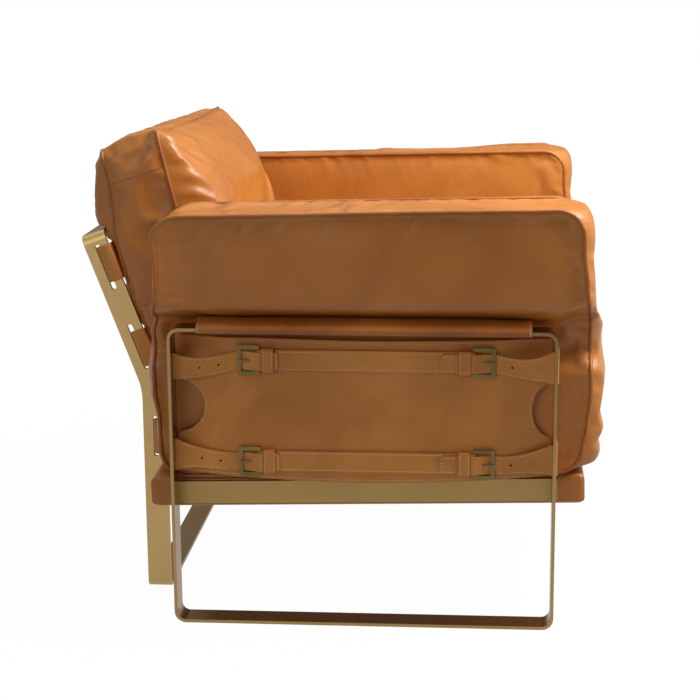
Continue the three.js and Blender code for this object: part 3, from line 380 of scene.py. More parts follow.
# %% [markdown]
# A boxed cushion is two panels joined by a long strip, the gusset, with a leather cord in each seam. The seams
# are what keeps its form: they hardly stretch, while the filling pushes the panels out between them. So the
# cushion starts as a cube that is cut into a fine grid and bent to its outline, the seams are pinned, and a cloth
# simulation blows up the rest. The leather is cut a little larger than the outline, and the folds that run in
# from the seams are drawn into it beforehand.


# %% Cube grid helper
def cube_grid(cells_x, cells_y, cells_z):
    """A unit cube from 0 to 1 whose edges are cut into that many cells each way."""
    form = bmesh.new()
    bmesh.ops.create_cube(form, size=1.0)
    bmesh.ops.translate(form, verts=form.verts, vec=(0.5, 0.5, 0.5))
    for axis, cells in enumerate((cells_x, cells_y, cells_z)):
        along = [edge for edge in form.edges if abs((edge.verts[0].co - edge.verts[1].co)[axis]) > 1e-6]
        bmesh.ops.subdivide_edges(form, edges=along, cuts=cells - 1, use_grid_fill=True)
    return form


def round_corner(a, b):
    """Bends the corner of a square, where a and b run from 0 to 1, into a quarter of a circle."""
    return a * math.sqrt(1 - b * b / 2), b * math.sqrt(1 - a * a / 2)


def in_rounded_box(x, z, width, height, radius):
    """Moves a point of a rectangle into the same rectangle with round corners. The rectangle starts at zero."""
    from_x = min(x, width - x)
    from_z = min(z, height - z)
    if from_x >= radius or from_z >= radius:
        return x, z
    a, b = round_corner(1 - from_x / radius, 1 - from_z / radius)
    new_x = radius * (1 - a)
    new_z = radius * (1 - b)
    return (new_x if x < width / 2 else width - new_x), (new_z if z < height / 2 else height - new_z)


def clamp(share):
    return max(0.0, min(1.0, share))


def eased(share):
    """Starts and stops gently between 0 and 1."""
    return share * share * (3 - 2 * share)


def spread(value, table, smooth=True):
    """Reads a smooth curve, or straight lines, through rows of (place, value)."""
    if value <= table[0][0]:
        return table[0][1]
    for (from_place, from_value), (to_place, to_value) in zip(table, table[1:]):
        if value <= to_place:
            share = (value - from_place) / (to_place - from_place)
            return from_value + (to_value - from_value) * (eased(share) if smooth else share)
    return table[-1][1]


# %% Pad helper
def new_piece(name, form, material):
    """Turns a bmesh into a named object with one material."""
    mesh = bpy.data.meshes.new(name)
    form.to_mesh(mesh)
    form.free()
    mesh.materials.append(material)
    mesh.shade_smooth()
    return put(name, mesh)


def mirror_piece(piece, name):
    """The same piece for the other side of the chair, with its faces turned the right way out."""
    form = bmesh.new()
    form.from_mesh(piece.data)
    bmesh.ops.scale(form, vec=(1, -1, 1), verts=form.verts)
    bmesh.ops.reverse_faces(form, faces=form.faces)
    return new_piece(name, form, piece.data.materials[0])


# On the unit cube, a place below the first or above the second lies on a face
START, END = 0.0001, 0.9999


def is_seam(co):
    """On the unit cube: the rims of the two panels that face along Y."""
    on_panel = co.y < START or co.y > END
    on_rim = min(co.x, 1 - co.x, co.z, 1 - co.z) < START
    return on_panel and on_rim


FRAMES = 20
HIDE = {
    "quality": 6, "mass": 0.35, "tension_stiffness": 22, "compression_stiffness": 14, "shear_stiffness": 8,
    "bending_stiffness": 1.2, "use_pressure": True, "pin_stiffness": 0.9,
}


def inflate(pad, pinned, pressure, slack, cap):
    """Blows the pad up by cloth simulation with its seams held, and caps how far a point may move."""
    start = [vertex.co.copy() for vertex in pad.data.vertices]
    group = pad.vertex_groups.new(name="seams")
    group.add(list(pinned), 1.0, "REPLACE")
    cloth = pad.modifiers.new("filling", "CLOTH")
    settings = {**HIDE, "uniform_pressure_force": pressure, "shrink_min": -slack, "vertex_group_mass": "seams"}
    for name, value in settings.items():
        setattr(cloth.settings, name, value)
    cloth.settings.effector_weights.gravity = 0
    cloth.point_cache.frame_start = 1
    cloth.point_cache.frame_end = FRAMES
    for step in range(1, FRAMES + 1):
        bpy.context.scene.frame_set(step)
    blown = pad.evaluated_get(bpy.context.evaluated_depsgraph_get()).to_mesh()
    moved = [vertex.co.copy() for vertex in blown.vertices]
    pad.evaluated_get(bpy.context.evaluated_depsgraph_get()).to_mesh_clear()
    pad.modifiers.remove(cloth)
    pad.vertex_groups.remove(group)
    bpy.context.scene.frame_set(1)
    largest = 0.0
    for vertex, before, after in zip(pad.data.vertices, start, moved):
        step = after - before
        if step.length > cap:
            step *= cap / step.length
        largest = max(largest, step.length)
        vertex.co = before + step
    return largest


def ordered_rim(form, wanted):
    """Walks round a closed line of edges whose ends both satisfy the test, and returns its vertex indices."""
    edges = [edge for edge in form.edges if wanted(edge.verts[0].index) and wanted(edge.verts[1].index)]
    neighbours = {}
    for edge in edges:
        first, second = (vertex.index for vertex in edge.verts)
        neighbours.setdefault(first, []).append(second)
        neighbours.setdefault(second, []).append(first)
    start = edges[0].verts[0].index
    walk = [start]
    previous, here = None, start
    while True:
        onward = [index for index in neighbours[here] if index != previous]
        previous, here = here, onward[0]
        if here == start:
            return walk
        walk.append(here)


class Pad:
    """A boxed cushion: its object, and the vertex numbers along its two seams."""

    def __init__(self, name, cells, place, material):
        form = cube_grid(*cells)
        form.verts.ensure_lookup_table()
        form.verts.index_update()
        unit = [vertex.co.copy() for vertex in form.verts]
        seam = [is_seam(co) for co in unit]
        self.rims = [
            ordered_rim(form, lambda index, side=side: seam[index] and abs(unit[index].y - side) < 0.5)
            for side in (0, 1)
        ]
        for vertex, co in zip(form.verts, unit):
            vertex.co = place(co.x, co.y, co.z)
        bmesh.ops.recalc_face_normals(form, faces=form.faces)
        self.unit = unit
        self.seam = {index for index, on_seam in enumerate(seam) if on_seam}
        self.object = new_piece(name, form, material)

    def swell(self, pressure, slack, cap, rule):
        moved = inflate(self.object, self.seam, pressure, slack, cap * MM)
        print(f"{self.object.name} swelled by up to {moved / MM:.1f} mm")
        for vertex, co in zip(self.object.data.vertices, self.unit):
            vertex.co = rule(vertex.co, co)

    def rim_points(self, side, proud=1.3):
        """The points of a seam, set a little outwards, as the cord stands proud of both panels."""
        vertices = self.object.data.vertices
        return [vertices[index].co + vertices[index].normal * proud * MM for index in self.rims[side]]

    def row_points(self, wanted, order):
        """The points that satisfy a test on the unit cube, sorted along one of its axes."""
        found = [(co[order], index) for index, co in enumerate(self.unit) if wanted(co)]
        return [self.object.data.vertices[index].co.copy() for _, index in sorted(found)]


def welt(name, points, radius, body, closed=True):
    """A cord sewn into a seam: a tube along the seam's own points."""
    data = bpy.data.curves.new(name, "CURVE")
    data.dimensions = "3D"
    data.bevel_depth = radius * MM
    data.bevel_resolution = 2
    data.use_fill_caps = True
    line = data.splines.new("NURBS")
    line.points.add(len(points) - 1)
    for point, place in zip(line.points, points):
        point.co = (*place, 1.0)
    line.order_u = 4
    line.use_cyclic_u = closed
    line.use_endpoint_u = not closed
    line.resolution_u = 2
    route = put(name, data)
    mesh = bpy.data.meshes.new_from_object(route.evaluated_get(bpy.context.evaluated_depsgraph_get()))
    bpy.data.objects.remove(route)
    mesh.name = name
    mesh.materials.clear()
    mesh.materials.append(piping_leather)
    mesh.shade_smooth()
    piece = put(name, mesh)
    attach(piece, body)
    return piece


def finish_pad(piece, body, node):
    """Smooths a pad, lets it ride on its body and hides the node that it stands for."""
    smooth = piece.modifiers.new("soft_leather", "SUBSURF")
    smooth.levels = smooth.render_levels = 1
    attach(piece, body)
    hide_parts(node)


# %% [markdown]
# The arm cushion is one thick pad that hangs over the loop's top bar. Its outer panel runs down the outside of a
# roll, turns in under it just above the bar, and goes on down behind the leather side panel. Its ends swell out
# between the seams, and its outline is drawn a little fuller in front, where nothing holds it, than at the back.


# %% Swell helpers
ROUNDNESS = 2.1
FOLD_LENGTH = 120.0
SMALL_FOLD = {"share": 0.45, "density": 2.1, "length": 70.0, "seed": 9.0}
FOLD_START = 8.0


def dome(share, power=4.0):
    """Rises from 0 at both ends to 1 in the middle."""
    return 1 - abs(2 * share - 1) ** power


def fullness(across, along):
    """How far a panel swells between its seams, from 0 at a seam to 1 in the middle."""
    return dome(across) * dome(along)


def blend(low, high, share):
    return low + (high - low) * share


def bulge(distance, reach):
    """How a stuffed panel rises from its seam: steeply at first, and level once it is a reach away."""
    return (1 - (1 - clamp(distance / reach)) ** ROUNDNESS) ** (1 / ROUNDNESS)


def pucker(distance, along, seed, depth, reach=35.0, pitch=17.0, lean=0.0):
    """Folds that run in from a seam: deepest close to it, and gone inside the panel."""
    if distance <= 0:
        return 0.0
    place = (along + lean * distance) / pitch
    fold = noise.noise(Vector((place, distance / FOLD_LENGTH, seed)))
    small = Vector((place * SMALL_FOLD["density"], distance / SMALL_FOLD["length"], seed + SMALL_FOLD["seed"]))
    fold += SMALL_FOLD["share"] * noise.noise(small)
    return depth * fold * min(1.0, distance / FOLD_START) * math.exp(-distance / reach)


# %% Arm cushions
ARM_CELLS = (84, 20, 72)
ARM_INNER, ARM_SLAB, ARM_OUTER = 304.0, 386.8, 438.0
ARM_BOTTOM, ARM_SHELF, ARM_TOP = 224.6, 475.5, 650.0
ARM_LEVEL_PLACE = 300.0
ARM_REAR, ARM_REAR_SPREAD = -13.0, 18.0
ARM_FRONT, ARM_FRONT_SPREAD = 626.0, 17.0
ARM_CORNER = 42.0
ARM_CORNER_RISE = 9.0
ARM_CORNER_POWER = 1.5
ARM_WELT = 3.5
ARM_SWELL = {"front": 24.0, "rear": 9.0, "top": 4.0, "outer": 3.0, "inner": 7.0}
ARM_FRONT_SWELL = [
    (0.0, 1.3), (0.12, 1.22), (0.3, 0.88), (0.5, 0.8), (0.66, 0.48), (0.8, 0.52), (0.9, 0.66), (1.0, 0.6),
]

# The outer panel from the deck up: share of its length, then y and z
ARM_OUTER_SECTION = [
    (0.0, ARM_SLAB, ARM_BOTTOM),
    (0.53, ARM_SLAB, ARM_SHELF),
    (0.56, 391.0, 481.0),
    (0.6, 412.4, 489.0),
    (0.64, 429.5, 499.0),
    (0.68, 436.5, 513.0),
    (0.78, ARM_OUTER, 549.0),
    (1.0, ARM_OUTER, ARM_TOP),
]
ARM_OUTER_Y = [(share, y) for share, y, _ in ARM_OUTER_SECTION]
ARM_OUTER_Z = [(share, z) for share, _, z in ARM_OUTER_SECTION]

# How far the ends reach out at each share of the height
ARM_REAR_LINE = [(0, 0.5), (0.22, 0.6), (0.32, 0.94), (0.53, 1), (0.62, 0.5), (0.72, 0.05), (0.79, 0), (1, 0.4)]
ARM_FRONT_LINE = [(0, 0.35), (0.11, 0.35), (0.18, 0.7), (0.32, 1), (0.56, 0.85), (0.72, 0.35), (0.88, 0), (1, 0)]

# The crease under the roll climbs towards the front end
ARM_CREASE_LIFT = 12.0
ARM_CREASE_LINE = [(0.4, 0.0), (0.54, 1.0), (0.66, 1.0), (0.85, 0.0)]
ARM_CREASE_CLIMB = [(530.0, 0.0), (640.0, 1.0)]

# Beside the bars, over the upper straps, the slab's end is round and the panel follows it inwards
RECESS = 22.0
BESIDE_BARS = [(8.0, 1.0), (95.0, 0.0), (LOOP_LENGTH - 110.0, 0.0), (LOOP_LENGTH - 8.0, 1.0)]
OVER_STRAPS = [(396.0, 0.0), (436.0, 1.0), (462.0, 1.0), (478.0, 0.0)]


def corner_recess(x, z):
    return RECESS * spread(x, BESIDE_BARS) * spread(z, OVER_STRAPS)


def arm_place(u, v, w):
    """u runs to the front, v outwards, w upwards."""
    y = blend(ARM_INNER, spread(w, ARM_OUTER_Y, smooth=False), v)
    height = ARM_TOP - ARM_BOTTOM
    flat_z = blend(blend(ARM_BOTTOM, ARM_TOP, w), spread(w, ARM_OUTER_Z, smooth=False), v) - ARM_BOTTOM
    rear = ARM_REAR - ARM_REAR_SPREAD * spread(flat_z / height, ARM_REAR_LINE)
    front = ARM_FRONT + ARM_FRONT_SPREAD * spread(flat_z / height, ARM_FRONT_LINE)
    length = front - rear
    flat_x, flat_z = in_rounded_box(u * length, flat_z, length, height, ARM_CORNER)
    x = rear + flat_x
    z = ARM_BOTTOM + flat_z
    slope = math.tan(SEAT_TILT)
    if z < ARM_SHELF:
        z += slope * x * (ARM_SHELF - z) / (ARM_SHELF - ARM_BOTTOM)
    else:
        z += slope * (x - ARM_LEVEL_PLACE) * (z - ARM_SHELF) / (ARM_TOP - ARM_SHELF)
    in_roll = clamp((z - ARM_SHELF) / (ARM_TOP - ARM_SHELF))
    under_roll = spread(w, ARM_CREASE_LINE) * v * v
    z += ARM_CREASE_LIFT * under_roll * spread(x, ARM_CREASE_CLIMB)
    y -= corner_recess(x, z) * v * (1 - under_roll)
    from_top = (1 - w) * height
    from_ends = min(u, 1 - u) * length
    from_seam = min(v, 1 - v) * (ARM_OUTER - ARM_INNER)
    in_corner = max(0.0, 1 - (1 - u) * length / ARM_CORNER)
    if u > END:
        x += ARM_SWELL["front"] * dome(v) * spread(w, ARM_FRONT_SWELL)
        z += ARM_CORNER_RISE * dome(v) * max(0.0, 1 - from_top / ARM_CORNER)
        x += pucker(from_seam, z, seed=21.0, depth=1.2, pitch=40.0)
    elif u < START:
        x -= ARM_SWELL["rear"] * fullness(v, w)
    elif w < START:
        x += ARM_SWELL["front"] * dome(v) * ARM_FRONT_SWELL[0][1] * in_corner ** ARM_CORNER_POWER
    elif w > END:
        z += ARM_SWELL["top"] * fullness(u, v) + pucker(from_seam, x, seed=25.0, depth=4.0, pitch=30.0)
        x += ARM_SWELL["front"] * dome(v) * ARM_FRONT_SWELL[-1][1] * in_corner ** ARM_CORNER_POWER
        z += ARM_CORNER_RISE * dome(v) * in_corner
    elif v > END:
        y += ARM_SWELL["outer"] * fullness(u, in_roll)
        y += pucker(from_top, x, seed=31.0, depth=6.5, reach=24.0, lean=0.6)
        y += pucker(from_ends, z, seed=35.0, depth=4.5, reach=32.0) * in_roll
    elif v < START:
        y -= ARM_SWELL["inner"] * fullness(u, in_roll)
        y -= pucker(from_top, x, seed=41.0, depth=4.5, reach=24.0, lean=-0.4)
    return at(x, -y, z)


# Where the arm has to stop: at the deck, the seat cushion, the side panel, the sleeve and the widest place allowed
ARM_OVER_DECK = 224.8
ARM_BESIDE_SEAT, ARM_OVER_SEAT, SEAT_LEVEL = 302.5, 292.0, 440.0
ARM_BEHIND_PANEL, PANEL_REACH = 388.6, (-8.0, 600.0)
SLEEVE_INNER, SLEEVE_LOW, SLEEVE_HIGH, SLEEVE_SLOPE = 389.0, 478.0, 480.0, 0.4
ROLL_SHARE = 0.545
ARM_WIDEST = 442.0


def arm_rule(co, unit):
    """Keeps the pad off the deck, the side panel, the sleeve and the seat cushion."""
    x, y, z = measured(co)
    y = -y
    z = max(z, ARM_OVER_DECK + math.tan(SEAT_TILT) * x)
    y = max(y, ARM_BESIDE_SEAT if z < SEAT_LEVEL else ARM_OVER_SEAT)
    slab_face = ARM_BEHIND_PANEL - corner_recess(x, z)
    if PANEL_REACH[0] < x < PANEL_REACH[1] and z < SLEEVE_LOW and y > slab_face and unit.z < ROLL_SHARE:
        y = slab_face
    if y > SLEEVE_INNER and unit.z >= ROLL_SHARE:
        z = max(z, SLEEVE_HIGH + SLEEVE_SLOPE * (y - SLEEVE_INNER))
    return at(x, -min(y, ARM_WIDEST), z)


LEFT_SLUMP = 9.0
SLUMP_LINE = [(400.0, 1.0), (540.0, 0.2)]


def slump(piece):
    """The left arm's roll hangs down a little towards its outer edge, and less so at the front end."""
    for vertex in piece.data.vertices:
        x, y, z = measured(vertex.co)
        outwards = clamp((y - ARM_INNER) / (ARM_OUTER - ARM_INNER))
        raised = clamp((z - ARM_SHELF) / (ARM_TOP - ARM_SHELF))
        vertex.co.z -= LEFT_SLUMP * MM * spread(x, SLUMP_LINE) * outwards * raised


arm = Pad("arm_cushion_cover_R", ARM_CELLS, arm_place, cushion_leather)
arm.swell(pressure=2.0, slack=0.02, cap=5.0, rule=arm_rule)
arm_left = mirror_piece(arm.object, "arm_cushion_cover_L")
slump(arm_left)
finish_pad(arm.object, FRAME_BODY, "arm_cushion_R")
finish_pad(arm_left, FRAME_BODY, "arm_cushion_L")
for seam_name, side in (("inner", 0), ("outer", 1)):
    right = welt(f"arm_welt_{seam_name}_R", arm.rim_points(side), ARM_WELT, FRAME_BODY)
    left = mirror_piece(right, f"arm_welt_{seam_name}_L")
    slump(left)
    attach(left, FRAME_BODY)

# %% [markdown]
# The back cushion leans on the slings. Its front panel is much fuller than its rear one, and the gusset between
# them is pieced together from three lengths, so two cross seams show on each side.

# %% Back cushion
BACK_LEAN = math.radians(13.3)
BACK_HEEL = (-52.0, 407.0)
BACK_HALF = 284.0
BACK_GUSSET = 94.0
BACK_REAR_HEIGHT = {"right": 327.0, "left": 303.0}
BACK_FRONT_HEIGHT = {"right": 338.0, "left": 323.0}
BACK_TOP_SAG = 10.0
BACK_CORNER = 20.0
BACK_SWELL = {"front": 81.0, "rear": 43.0, "top": 12.5, "bottom": 10.0, "ends": 6.0}
BACK_REACH = {"side": 120.0, "rear_side": 40.0, "front_top": 150.0, "front_bottom": 110.0, "top": 90.0}
BACK_REAR_LINE = [
    (0, 0), (0.1, 0.4), (0.3, 0.55), (0.5, 0.6), (0.62, 0.7), (0.74, 0.95), (0.84, 0.95), (0.93, 0.7), (1, 0),
]
BACK_SEAM_SINK = 13.0
BACK_SINK_LINE = [(0.0, 0.2), (0.15, 1.0), (0.5, 1.0), (0.85, 0.0)]
BACK_CELLS = (84, 14, 56)
BACK_WELT = 3.3
GUSSET_SEAM = 0.9
GUSSET_SEAM_ROWS = {"upper": 46, "lower": 12}


def back_place(u, v, w):
    """u runs from the sitter's right to left, v from the rear panel to the front one, w upwards."""
    rear_height = blend(BACK_REAR_HEIGHT["right"], BACK_REAR_HEIGHT["left"], u)
    front_height = blend(BACK_FRONT_HEIGHT["right"], BACK_FRONT_HEIGHT["left"], u)
    height = blend(rear_height, front_height, v) - BACK_TOP_SAG * dome(u, 6)
    flat_u, up = in_rounded_box(u * 2 * BACK_HALF, w * height, 2 * BACK_HALF, height, BACK_CORNER)
    y = flat_u - BACK_HALF
    from_side = min(u, 1 - u) * 2 * BACK_HALF
    from_top = (1 - w) * height
    from_bottom = w * height
    out = v * BACK_GUSSET - (1 - v) * BACK_SEAM_SINK * spread(w, BACK_SINK_LINE)
    if v > END:
        rise = bulge(from_top, BACK_REACH["front_top"]) * bulge(from_bottom, BACK_REACH["front_bottom"])
        out += BACK_SWELL["front"] * bulge(from_side, BACK_REACH["side"]) * rise
        out += pucker(from_side, up, seed=3.0 + u, depth=13.0, reach=60.0, pitch=30.0, lean=0.9)
        out += pucker(from_top, y, seed=5.0, depth=4.0, reach=30.0, pitch=26.0)
    elif v < START:
        out -= BACK_SWELL["rear"] * bulge(from_side, BACK_REACH["rear_side"]) * spread(w, BACK_REAR_LINE)
        out -= pucker(from_side, up, seed=11.0 + u, depth=7.0, reach=40.0, pitch=26.0, lean=-0.5)
    elif w > END:
        up += BACK_SWELL["top"] * bulge(from_side, BACK_REACH["top"]) * dome(v, 2.5)
    elif w < START:
        up -= BACK_SWELL["bottom"] * fullness(u, v)
    elif u < START:
        y -= BACK_SWELL["ends"] * fullness(v, w)
    elif u > END:
        y += BACK_SWELL["ends"] * fullness(v, w)
    x = BACK_HEEL[0] + out * math.cos(BACK_LEAN) - up * math.sin(BACK_LEAN)
    z = BACK_HEEL[1] + out * math.sin(BACK_LEAN) + up * math.cos(BACK_LEAN)
    return at(x, y, z)


# The back frame: how far its uprights lean above the kink, the kink's place, and the slings' front and upper edge
FRAME_LEAN = math.radians(20.2)
FRAME_KINK = (-71.0, 339.0)
FRAME_FRONT = 42.2
FRAME_TOP = 264.0
BETWEEN_UPRIGHTS, BEFORE_UPRIGHTS = 279.5, 290.0

# The cushion sinks in between the slings, at these places along the uprights
BETWEEN_SLINGS = [
    (94.0, 0.0), (110.0, 11.0), (160.0, 11.0), (176.0, 0.0), (240.0, 0.0), (245.0, 7.0), (258.0, 7.0), (260.0, 0.0),
]


def back_rule(co, unit):
    """Keeps the cushion in front of the leaning slings and the top bar."""
    x, y, z = measured(co)
    x -= FRAME_KINK[0]
    z -= FRAME_KINK[1]
    across = x * math.cos(FRAME_LEAN) + z * math.sin(FRAME_LEAN)
    along = z * math.cos(FRAME_LEAN) - x * math.sin(FRAME_LEAN)
    nearest = FRAME_FRONT - spread(along, BETWEEN_SLINGS)
    if along < FRAME_TOP and across < nearest:
        x += (nearest - across) * math.cos(FRAME_LEAN)
        z += (nearest - across) * math.sin(FRAME_LEAN)
    limit = BETWEEN_UPRIGHTS if across < FRAME_FRONT and along < FRAME_TOP else BEFORE_UPRIGHTS
    return at(x + FRAME_KINK[0], max(-limit, min(limit, y)), z + FRAME_KINK[1])


back = Pad("back_cushion_cover", BACK_CELLS, back_place, cushion_leather)
back.swell(pressure=2.5, slack=0.03, cap=9.0, rule=back_rule)
finish_pad(back.object, "loose_back", "back_cushion")
for seam_name, side in (("rear", 0), ("front", 1)):
    welt(f"back_welt_{seam_name}", back.rim_points(side), BACK_WELT, "loose_back")
for side_name, end in (("R", 0.0), ("L", 1.0)):
    for level, row in GUSSET_SEAM_ROWS.items():
        height = row / BACK_CELLS[2]
        points = back.row_points(lambda co: abs(co.x - end) < START and abs(co.z - height) < START, 1)
        welt(f"back_gusset_seam_{level}_{side_name}", points, GUSSET_SEAM, "loose_back", closed=False)

# %% [markdown]
# The seat cushion is a boxed cushion too. It lies flat on the platform between the arms, so that only its top and
# its front swell.

# %% Seat cushion
SEAT_CELLS = (76, 22, 70)
SEAT_LENGTH, SEAT_WIDTH, SEAT_REAR = 656.0, 600.0, -21.5
SEAT_BOTTOM, SEAT_BOX, SEAT_CORNER = 43.7, 172.0, 26.0
SEAT_SWELL = {"top": 24.0, "front": 14.0}
SEAT_OVER_DECK, SEAT_BESIDE_ARMS, SEAT_BEFORE_SLINGS = 225.4, 301.5, -26.5
SEAT_WELT = 2.6


def seat_place(u, v, w):
    """u runs to the front, v upwards, w from the sitter's right to left."""
    flat_x, flat_y = in_rounded_box(u * SEAT_LENGTH, w * SEAT_WIDTH, SEAT_LENGTH, SEAT_WIDTH, SEAT_CORNER)
    x = SEAT_REAR + flat_x
    z = SEAT_BOTTOM + v * SEAT_BOX
    if u > END:
        x += SEAT_SWELL["front"] * fullness(w, v)
    elif v > END:
        z += SEAT_SWELL["top"] * fullness(u, w)
    return on_seat(x, flat_y - SEAT_WIDTH / 2, z)


def seat_rule(co, unit):
    """Keeps the cushion off the deck, the arms and the slings."""
    x, y, z = measured(co)
    z = max(z, SEAT_OVER_DECK + math.tan(SEAT_TILT) * x)
    y = max(-SEAT_BESIDE_ARMS, min(SEAT_BESIDE_ARMS, y))
    return at(max(x, SEAT_BEFORE_SLINGS), y, z)


seat = Pad("seat_cushion_cover", SEAT_CELLS, seat_place, cushion_leather)
seat.swell(pressure=2.0, slack=0.02, cap=7.0, rule=seat_rule)
finish_pad(seat.object, "loose_seat", "seat_cushion")
for seam_name, side in (("lower", 0), ("upper", 1)):
    welt(f"seat_welt_{seam_name}", seat.rim_points(side), SEAT_WELT, "loose_seat")

# %% [markdown]
# The side panel, the straps and the slings are flat leather, 2 to 3 mm thick, cut and sewn. Each starts as a flat
# grid that is bent into place along its route, gets its thickness from a Solidify modifier, and its soft cut edge
# from a Bevel. Stitches are real threads here: one small closed form each, set a stitch length apart.


# %% Flat leather helper
def flat_leather(name, columns, rows, place, thickness, material, edge=0.5):
    """A leather strip: place turns two shares, along and up, into a point of its middle layer."""
    form = bmesh.new()
    bmesh.ops.create_grid(form, x_segments=columns, y_segments=rows, size=0.5)
    for vertex in form.verts:
        vertex.co = place(vertex.co.x + 0.5, vertex.co.y + 0.5)
    piece = new_piece(name, form, material)
    thick = piece.modifiers.new("thickness", "SOLIDIFY")
    thick.thickness = thickness * MM
    thick.offset = 0
    soft = piece.modifiers.new("cut_edge", "BEVEL")
    soft.width = edge * MM
    soft.segments = 2
    soft.limit_method = "ANGLE"
    soft.angle_limit = math.radians(50)
    soft.harden_normals = True
    return piece


FINE_STEPS = 16


def smooth_route(points, count):
    """Evenly spaced points along a smooth line through the given ones."""
    fine = []
    ends = [points[0], *points, points[-1]]
    for before, here, there, after in zip(ends, ends[1:], ends[2:], ends[3:]):
        for step in range(FINE_STEPS):
            t = step / FINE_STEPS
            fine.append(0.5 * (
                2 * here + (there - before) * t
                + (2 * before - 5 * here + 4 * there - after) * t ** 2
                + (3 * here - before - 3 * there + after) * t ** 3
            ))
    fine.append(points[-1])
    lengths = [0.0]
    for first, second in zip(fine, fine[1:]):
        lengths.append(lengths[-1] + (second - first).length)
    even = []
    place = 0
    for step in range(count + 1):
        wanted = lengths[-1] * step / count
        while place < len(fine) - 2 and lengths[place + 1] < wanted:
            place += 1
        span = lengths[place + 1] - lengths[place]
        even.append(fine[place].lerp(fine[place + 1], (wanted - lengths[place]) / span if span else 0))
    return even


# %% Stitch and mirror helpers
STITCH, STITCH_PITCH = 3.2, 5.0
THREAD_WIDTH, THREAD_HEIGHT = 1.5, 0.7
EDGE_SETTINGS = ("thickness", "offset", "width", "segments", "limit_method", "angle_limit", "harden_normals")


def both_sides(piece, node=None, declare=None):
    """Lets a right-hand piece ride on the frame, and makes and places its mirror image on the left."""
    left = mirror_piece(piece, piece.name[:-2] + "_L")
    for modifier in piece.modifiers:
        copy = left.modifiers.new(modifier.name, modifier.type)
        for setting in EDGE_SETTINGS:
            if hasattr(modifier, setting):
                setattr(copy, setting, getattr(modifier, setting))
    for one in (piece, left):
        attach(one, FRAME_BODY)
        if node:
            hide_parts(node + one.name[-2:])
        if declare:
            declare(one)


def add_stitches(form, route, outward):
    """Sets threads along a line of points, lying flat on the leather whose outward direction is given."""
    size = Matrix.Diagonal((STITCH * MM / 2, THREAD_WIDTH * MM / 2, THREAD_WIDTH * MM * THREAD_HEIGHT / 2, 1))
    for first, second in zip(route, route[1:]):
        along = (second - first).normalized()
        across = along.cross(outward).normalized()
        turn = Matrix((along, across, across.cross(along))).transposed().to_4x4()
        place = Matrix.Translation((first + second) / 2) @ turn @ size
        bmesh.ops.create_uvsphere(form, u_segments=6, v_segments=4, radius=1.0, matrix=place)


def stitch(name, rows):
    """One object for the stitches of a right-hand piece, and one for the left: rows of points on the leather."""
    form = bmesh.new()
    for points, outward in rows:
        length = sum((b - a).length for a, b in zip(points, points[1:]))
        count = max(2, round(length / (STITCH_PITCH * MM)))
        add_stitches(form, smooth_route(points, count), outward)
    both_sides(new_piece(name, form, cream_thread))


# %% Side panels
PANEL_LAYER = 391.6
PANEL_THICK = 2.4
PANEL_REAR = 8.4
PANEL_FRONT = LOOP_LENGTH - 8.4
PANEL_TOP = 448.5
PANEL_WAVE, PANEL_WAVE_COUNT = 1.6, 9.0
PANEL_BOTTOM = (237.0, 221.0, 238.0)
SCOOP_TOP, SCOOP_BOTTOM = 384.0, 300.0
SCOOP_REAR, SCOOP_FRONT = 40.0, 28.0
OUT = Vector((0, -1, 0))


def scoop(z, depth):
    """How far the panel's end is cut back at a height: half an oval between the two straps."""
    middle = (SCOOP_TOP + SCOOP_BOTTOM) / 2
    half = (SCOOP_TOP - SCOOP_BOTTOM) / 2
    reach = 1 - ((z - middle) / half) ** 2
    return depth * math.sqrt(reach) if reach > 0 else 0.0


def panel_bottom(u):
    """The hem hangs down a little between its ends."""
    rear, middle, front = PANEL_BOTTOM
    straight = rear + (front - rear) * u
    return straight - ((rear + front) / 2 - middle) * 4 * u * (1 - u)


def panel_place(u, v, margin=0.0, lift=0.0):
    top = PANEL_TOP + PANEL_WAVE * math.sin(u * PANEL_WAVE_COUNT) - margin
    bottom = panel_bottom(u) + margin
    z = bottom + (top - bottom) * v
    rear = PANEL_REAR + scoop(z, SCOOP_REAR) + margin
    front = PANEL_FRONT - scoop(z, SCOOP_FRONT) - margin
    x = rear + (front - rear) * u
    return at(x, -(PANEL_LAYER + lift - corner_recess(x, z)), z)


def declare_panel(one):
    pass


panel = flat_leather("side_panel_sheet_R", 96, 60, panel_place, PANEL_THICK, panel_leather)
both_sides(panel, "side_panel", declare_panel)

HEM = 4.0
SURFACE = PANEL_THICK / 2 + 0.2
END_SEAM = (0.36, 0.73)
along_hem = [u / 40 for u in range(41)]
along_end = [blend(*END_SEAM, v / 16) for v in range(17)]
panel_rows = [([panel_place(u, v, HEM, SURFACE) for u in along_hem], OUT) for v in (1.0, 0.0)]
panel_rows += [([panel_place(u, v, HEM, SURFACE) for v in along_end], OUT) for u in (0.0, 1.0)]
stitch("side_panel_stitches_R", panel_rows)

# %% [markdown]
# Each side has two straps, and each strap is three pieces: a middle band with a buckle at both ends, and two tabs
# that are looped round the loop's upright bars. A tab goes under the buckle's nose bar, over its heel bar and
# through a keeper, and it widens towards the bar that it holds.

